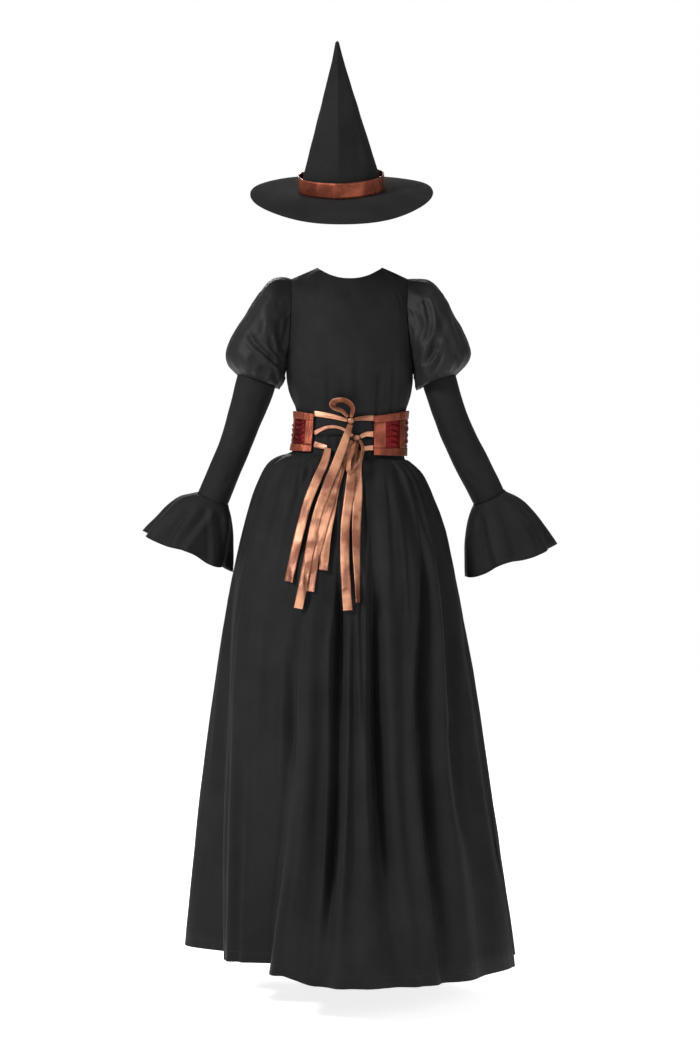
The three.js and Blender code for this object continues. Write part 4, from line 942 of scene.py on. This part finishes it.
# A row's centre is on its piece's axis, where that isn't the costume's own
HEMS = [
    {"node": "skirt_back", "heading": (0, 0, -1), "inset": 22},
    {"node": "skirt_front", "heading": (0, 0, -1), "inset": 22},
    {"node": "cuff_left", "centre": (0.3, -0.014, -0.52), "heading": (0.058, -0.008, -0.16), "inset": 8},
    {"node": "cuff_right", "centre": (-0.3, -0.014, -0.52), "heading": (-0.058, -0.008, -0.16), "inset": 8},
    {"node": "belt_binding_top", "heading": (0, 0, 1), "inset": 2.2},
    {"node": "belt_binding_top", "heading": (0, 0, -1), "inset": 2.2},
    {"node": "belt_binding_bottom", "heading": (0, 0, 1), "inset": 2.2},
    {"node": "belt_binding_bottom", "heading": (0, 0, -1), "inset": 2.2},
    {"node": "hat_band", "centre": HAT_PLACE, "heading": HAT_TURN[:, 2], "inset": 2.5},
    {"node": "hat_band", "centre": HAT_PLACE, "heading": -HAT_TURN[:, 2], "inset": 2.5},
]
BRIM_ROWS = [{"facing": 1, "inset": 5}, {"facing": -1, "inset": 5}]
BAR_EDGE = math.radians(1.3)  # from a bar's edge to its stitches


def hem_rays(points, centre, heading, inset):
    """Rays from outside towards the piece's axis, just above the edge that heading points to."""
    along = Vector(heading).normalized()
    right = along.orthogonal().normalized()
    behind = along.cross(right)
    reach = points - np.array(centre)
    angle = np.arctan2(reach @ np.array(behind), reach @ np.array(right))
    edge = edge_round(angle, reach @ np.array(along))
    flat = reach - np.outer(reach @ np.array(along), np.array(along))
    far = float(np.linalg.norm(flat, axis=1).max()) + 0.02
    rays = []
    for turned in np.linspace(-math.pi, math.pi, int(2 * math.pi * far / RAY_GAP)):
        out = right * math.cos(turned) + behind * math.sin(turned)
        start = Vector(centre) + along * (float(edge(turned)) - inset * MM) + out * far
        rays.append((start, -out, far))
    return rays


def brim_rays(points, facing, inset):
    """Upright rays onto the brim, just inside its edge, from above or from below."""
    reach = points[:, :2] - HAT_PLACE[:2]
    edge = edge_round(np.arctan2(reach[:, 1], reach[:, 0]), np.hypot(reach[:, 0], reach[:, 1]))
    far = 0.3
    rays = []
    for turned in np.linspace(-math.pi, math.pi, int(2 * math.pi * 0.2 / RAY_GAP)):
        radius = float(edge(turned)) - inset * MM
        reach = Vector((radius * math.cos(turned), radius * math.sin(turned), facing * far))
        rays.append((Vector(HAT_PLACE) + reach, Vector((0, 0, -facing)), 2 * far))
    return rays


def bar_rays(points, edge):
    """Level rays onto a bar of the cincher, up along one of its edges."""
    angle = np.arctan2(points[:, 0], points[:, 1])
    turned = angle.min() + BAR_EDGE if edge == "low" else angle.max() - BAR_EDGE
    out = Vector((math.sin(turned), math.cos(turned), 0))
    low, high = points[:, 2].min() + 2 * MM, points[:, 2].max() - 2 * MM
    levels = np.linspace(low, high, int((high - low) / RAY_GAP))
    return [(out * 0.3 + Vector((0, 0, level)), -out, 0.3) for level in levels]


def runs_on(piece, rays):
    """The unbroken stretches of points and normals where the rays meet the piece."""
    tree = surface_of(piece.data)
    runs = [[]]
    for start, heading, far in rays:
        place, normal, _, _ = tree.ray_cast(start, heading, far)
        if place is None or runs[-1] and (place - runs[-1][-1][0]).length > JUMP:
            runs.append([])
        if place is not None:
            runs[-1].append((place, normal if normal.dot(heading) < 0 else -normal))
    return [run for run in runs if len(run) > 4]


def add_stitches(piece, rays, name, material):
    """A row of stitches along the rays' points, each a small six-pointed thread."""
    verts, faces = [], []
    for run in runs_on(piece, rays):
        places = np.array([place for place, _ in run])
        normals = np.array([normal for _, normal in run])
        travelled = np.concatenate([[0], np.cumsum(np.linalg.norm(np.diff(places, axis=0), axis=1))])
        for start in np.arange(0, travelled[-1] - STITCH["length"], STITCH["length"] + STITCH["gap"]):
            span = (start, start + STITCH["length"], start + STITCH["length"] / 2)
            ends = [np.array([np.interp(s, travelled, places[:, k]) for k in range(3)]) for s in span]
            up = np.array([np.interp(span[2], travelled, normals[:, k]) for k in range(3)])
            up /= np.linalg.norm(up)
            across = np.cross(ends[1] - ends[0], up)
            across /= max(np.linalg.norm(across), 1e-9)
            wide = across * STITCH["half_width"]
            high = up * STITCH["height"]
            first = len(verts)
            verts += [ends[0], ends[1], ends[2] + wide, ends[2] - wide, ends[2] + high, ends[2] - high * 0.5]
            for a, b, c in STITCH_FACES:
                faces.append((first + a, first + b, first + c))
    data = bpy.data.meshes.new(name)
    data.from_pydata([tuple(v) for v in verts], [], faces)
    data.materials.append(MATERIALS[material])
    data.shade_smooth()
    row = bpy.data.objects.new(name, data)
    bpy.context.scene.collection.objects.link(row)
    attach(row, "root")
    return row


def add_all_stitches(pieces):
    """Every row of stitches, listed by the node it is sewn on."""
    rows = {node: [] for node in pieces}

    def sew(node, rays):
        copper = node.startswith("belt") or node == "hat_band"
        material = "copper_thread" if copper else "thread"
        name = "stitches_%s_%d" % (node, len(rows[node]) + 1)
        rows[node].append(add_stitches(pieces[node], rays, name, material))

    for hem in HEMS:
        points = points_of(pieces[hem["node"]].data)
        centre = hem.get("centre", (0, 0, 0))
        sew(hem["node"], hem_rays(points, centre, hem["heading"], hem["inset"]))
    for row in BRIM_ROWS:
        sew("hat_brim", brim_rays(points_of(pieces["hat_brim"].data), row["facing"], row["inset"]))
    for node in pieces:
        if node.startswith("belt_bar"):
            for edge in ("low", "high"):
                sew(node, bar_rays(points_of(pieces[node].data), edge))
    return rows


# Cuts, and how each piece is made. A row is for each piece whose name starts as it says.


# Which edges are cut: those whose steepness, 0 level and 1 upright, lies between low and high
HALVED = {"low": -1, "high": 0.5, "cuts": 1, "smooth": 1.0}
RUCHED = {"low": 0.7, "high": 2, "cuts": 9, "smooth": 0.0}

SHAPES = [
    {"start": "skirt", "level": 2, "material": "black_cloth", "shape": skirt_shape, "cut": HALVED},
    {"start": "bodice", "material": "black_cloth", "shape": bodice_shape},
    {"start": "puff", "material": "black_sateen", "shape": puff_shape, "slot": "black_cloth"},
    {"start": "sleeve", "material": "black_cloth", "shape": sleeve_shape},
    {"start": "cuff", "material": "black_cloth", "shape": cuff_shape},
    {"start": "hat_crown", "material": "black_felt", "shape": crown_shape},
    {"start": "hat_brim", "material": "black_felt", "shape": brim_shape},
    {"start": "hat_band", "material": "copper_trim", "shape": band_shape, "slot": "copper_satin"},
    {"start": "belt_panel", "level": 2, "material": "red_satin", "shape": panel_shape, "cut": RUCHED},
    {"start": "belt_b", "material": "copper_trim", "shape": trim_shape, "slot": "copper_satin"},
    {"start": "lace", "material": "copper_satin", "shape": lace_shape},
    {"start": "ribbon_end", "material": "copper_satin", "shape": ribbon_shape},
    {"start": "knot", "material": "copper_satin", "shape": knot_shape},
    {"start": "bow_loop", "material": "copper_satin", "shape": loop_shape},
]
MADE_FIRST = ["skirt_back", "skirt_front"]
SEAMS = [("skirt_front", "skirt_back"), ("bodice_front", "bodice_back")]


def make_piece(node):
    for row in SHAPES:
        if node.startswith(row["start"]):
            return made(node, **{name: value for name, value in row.items() if name != "start"})


add_camera()
add_studio()
add_floor()
others = [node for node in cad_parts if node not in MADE_FIRST]
pieces = {node: make_piece(node) for node in MADE_FIRST + others}
for piece, other in SEAMS:
    close_seam(pieces[piece], pieces[other])
rows = add_all_stitches(pieces)
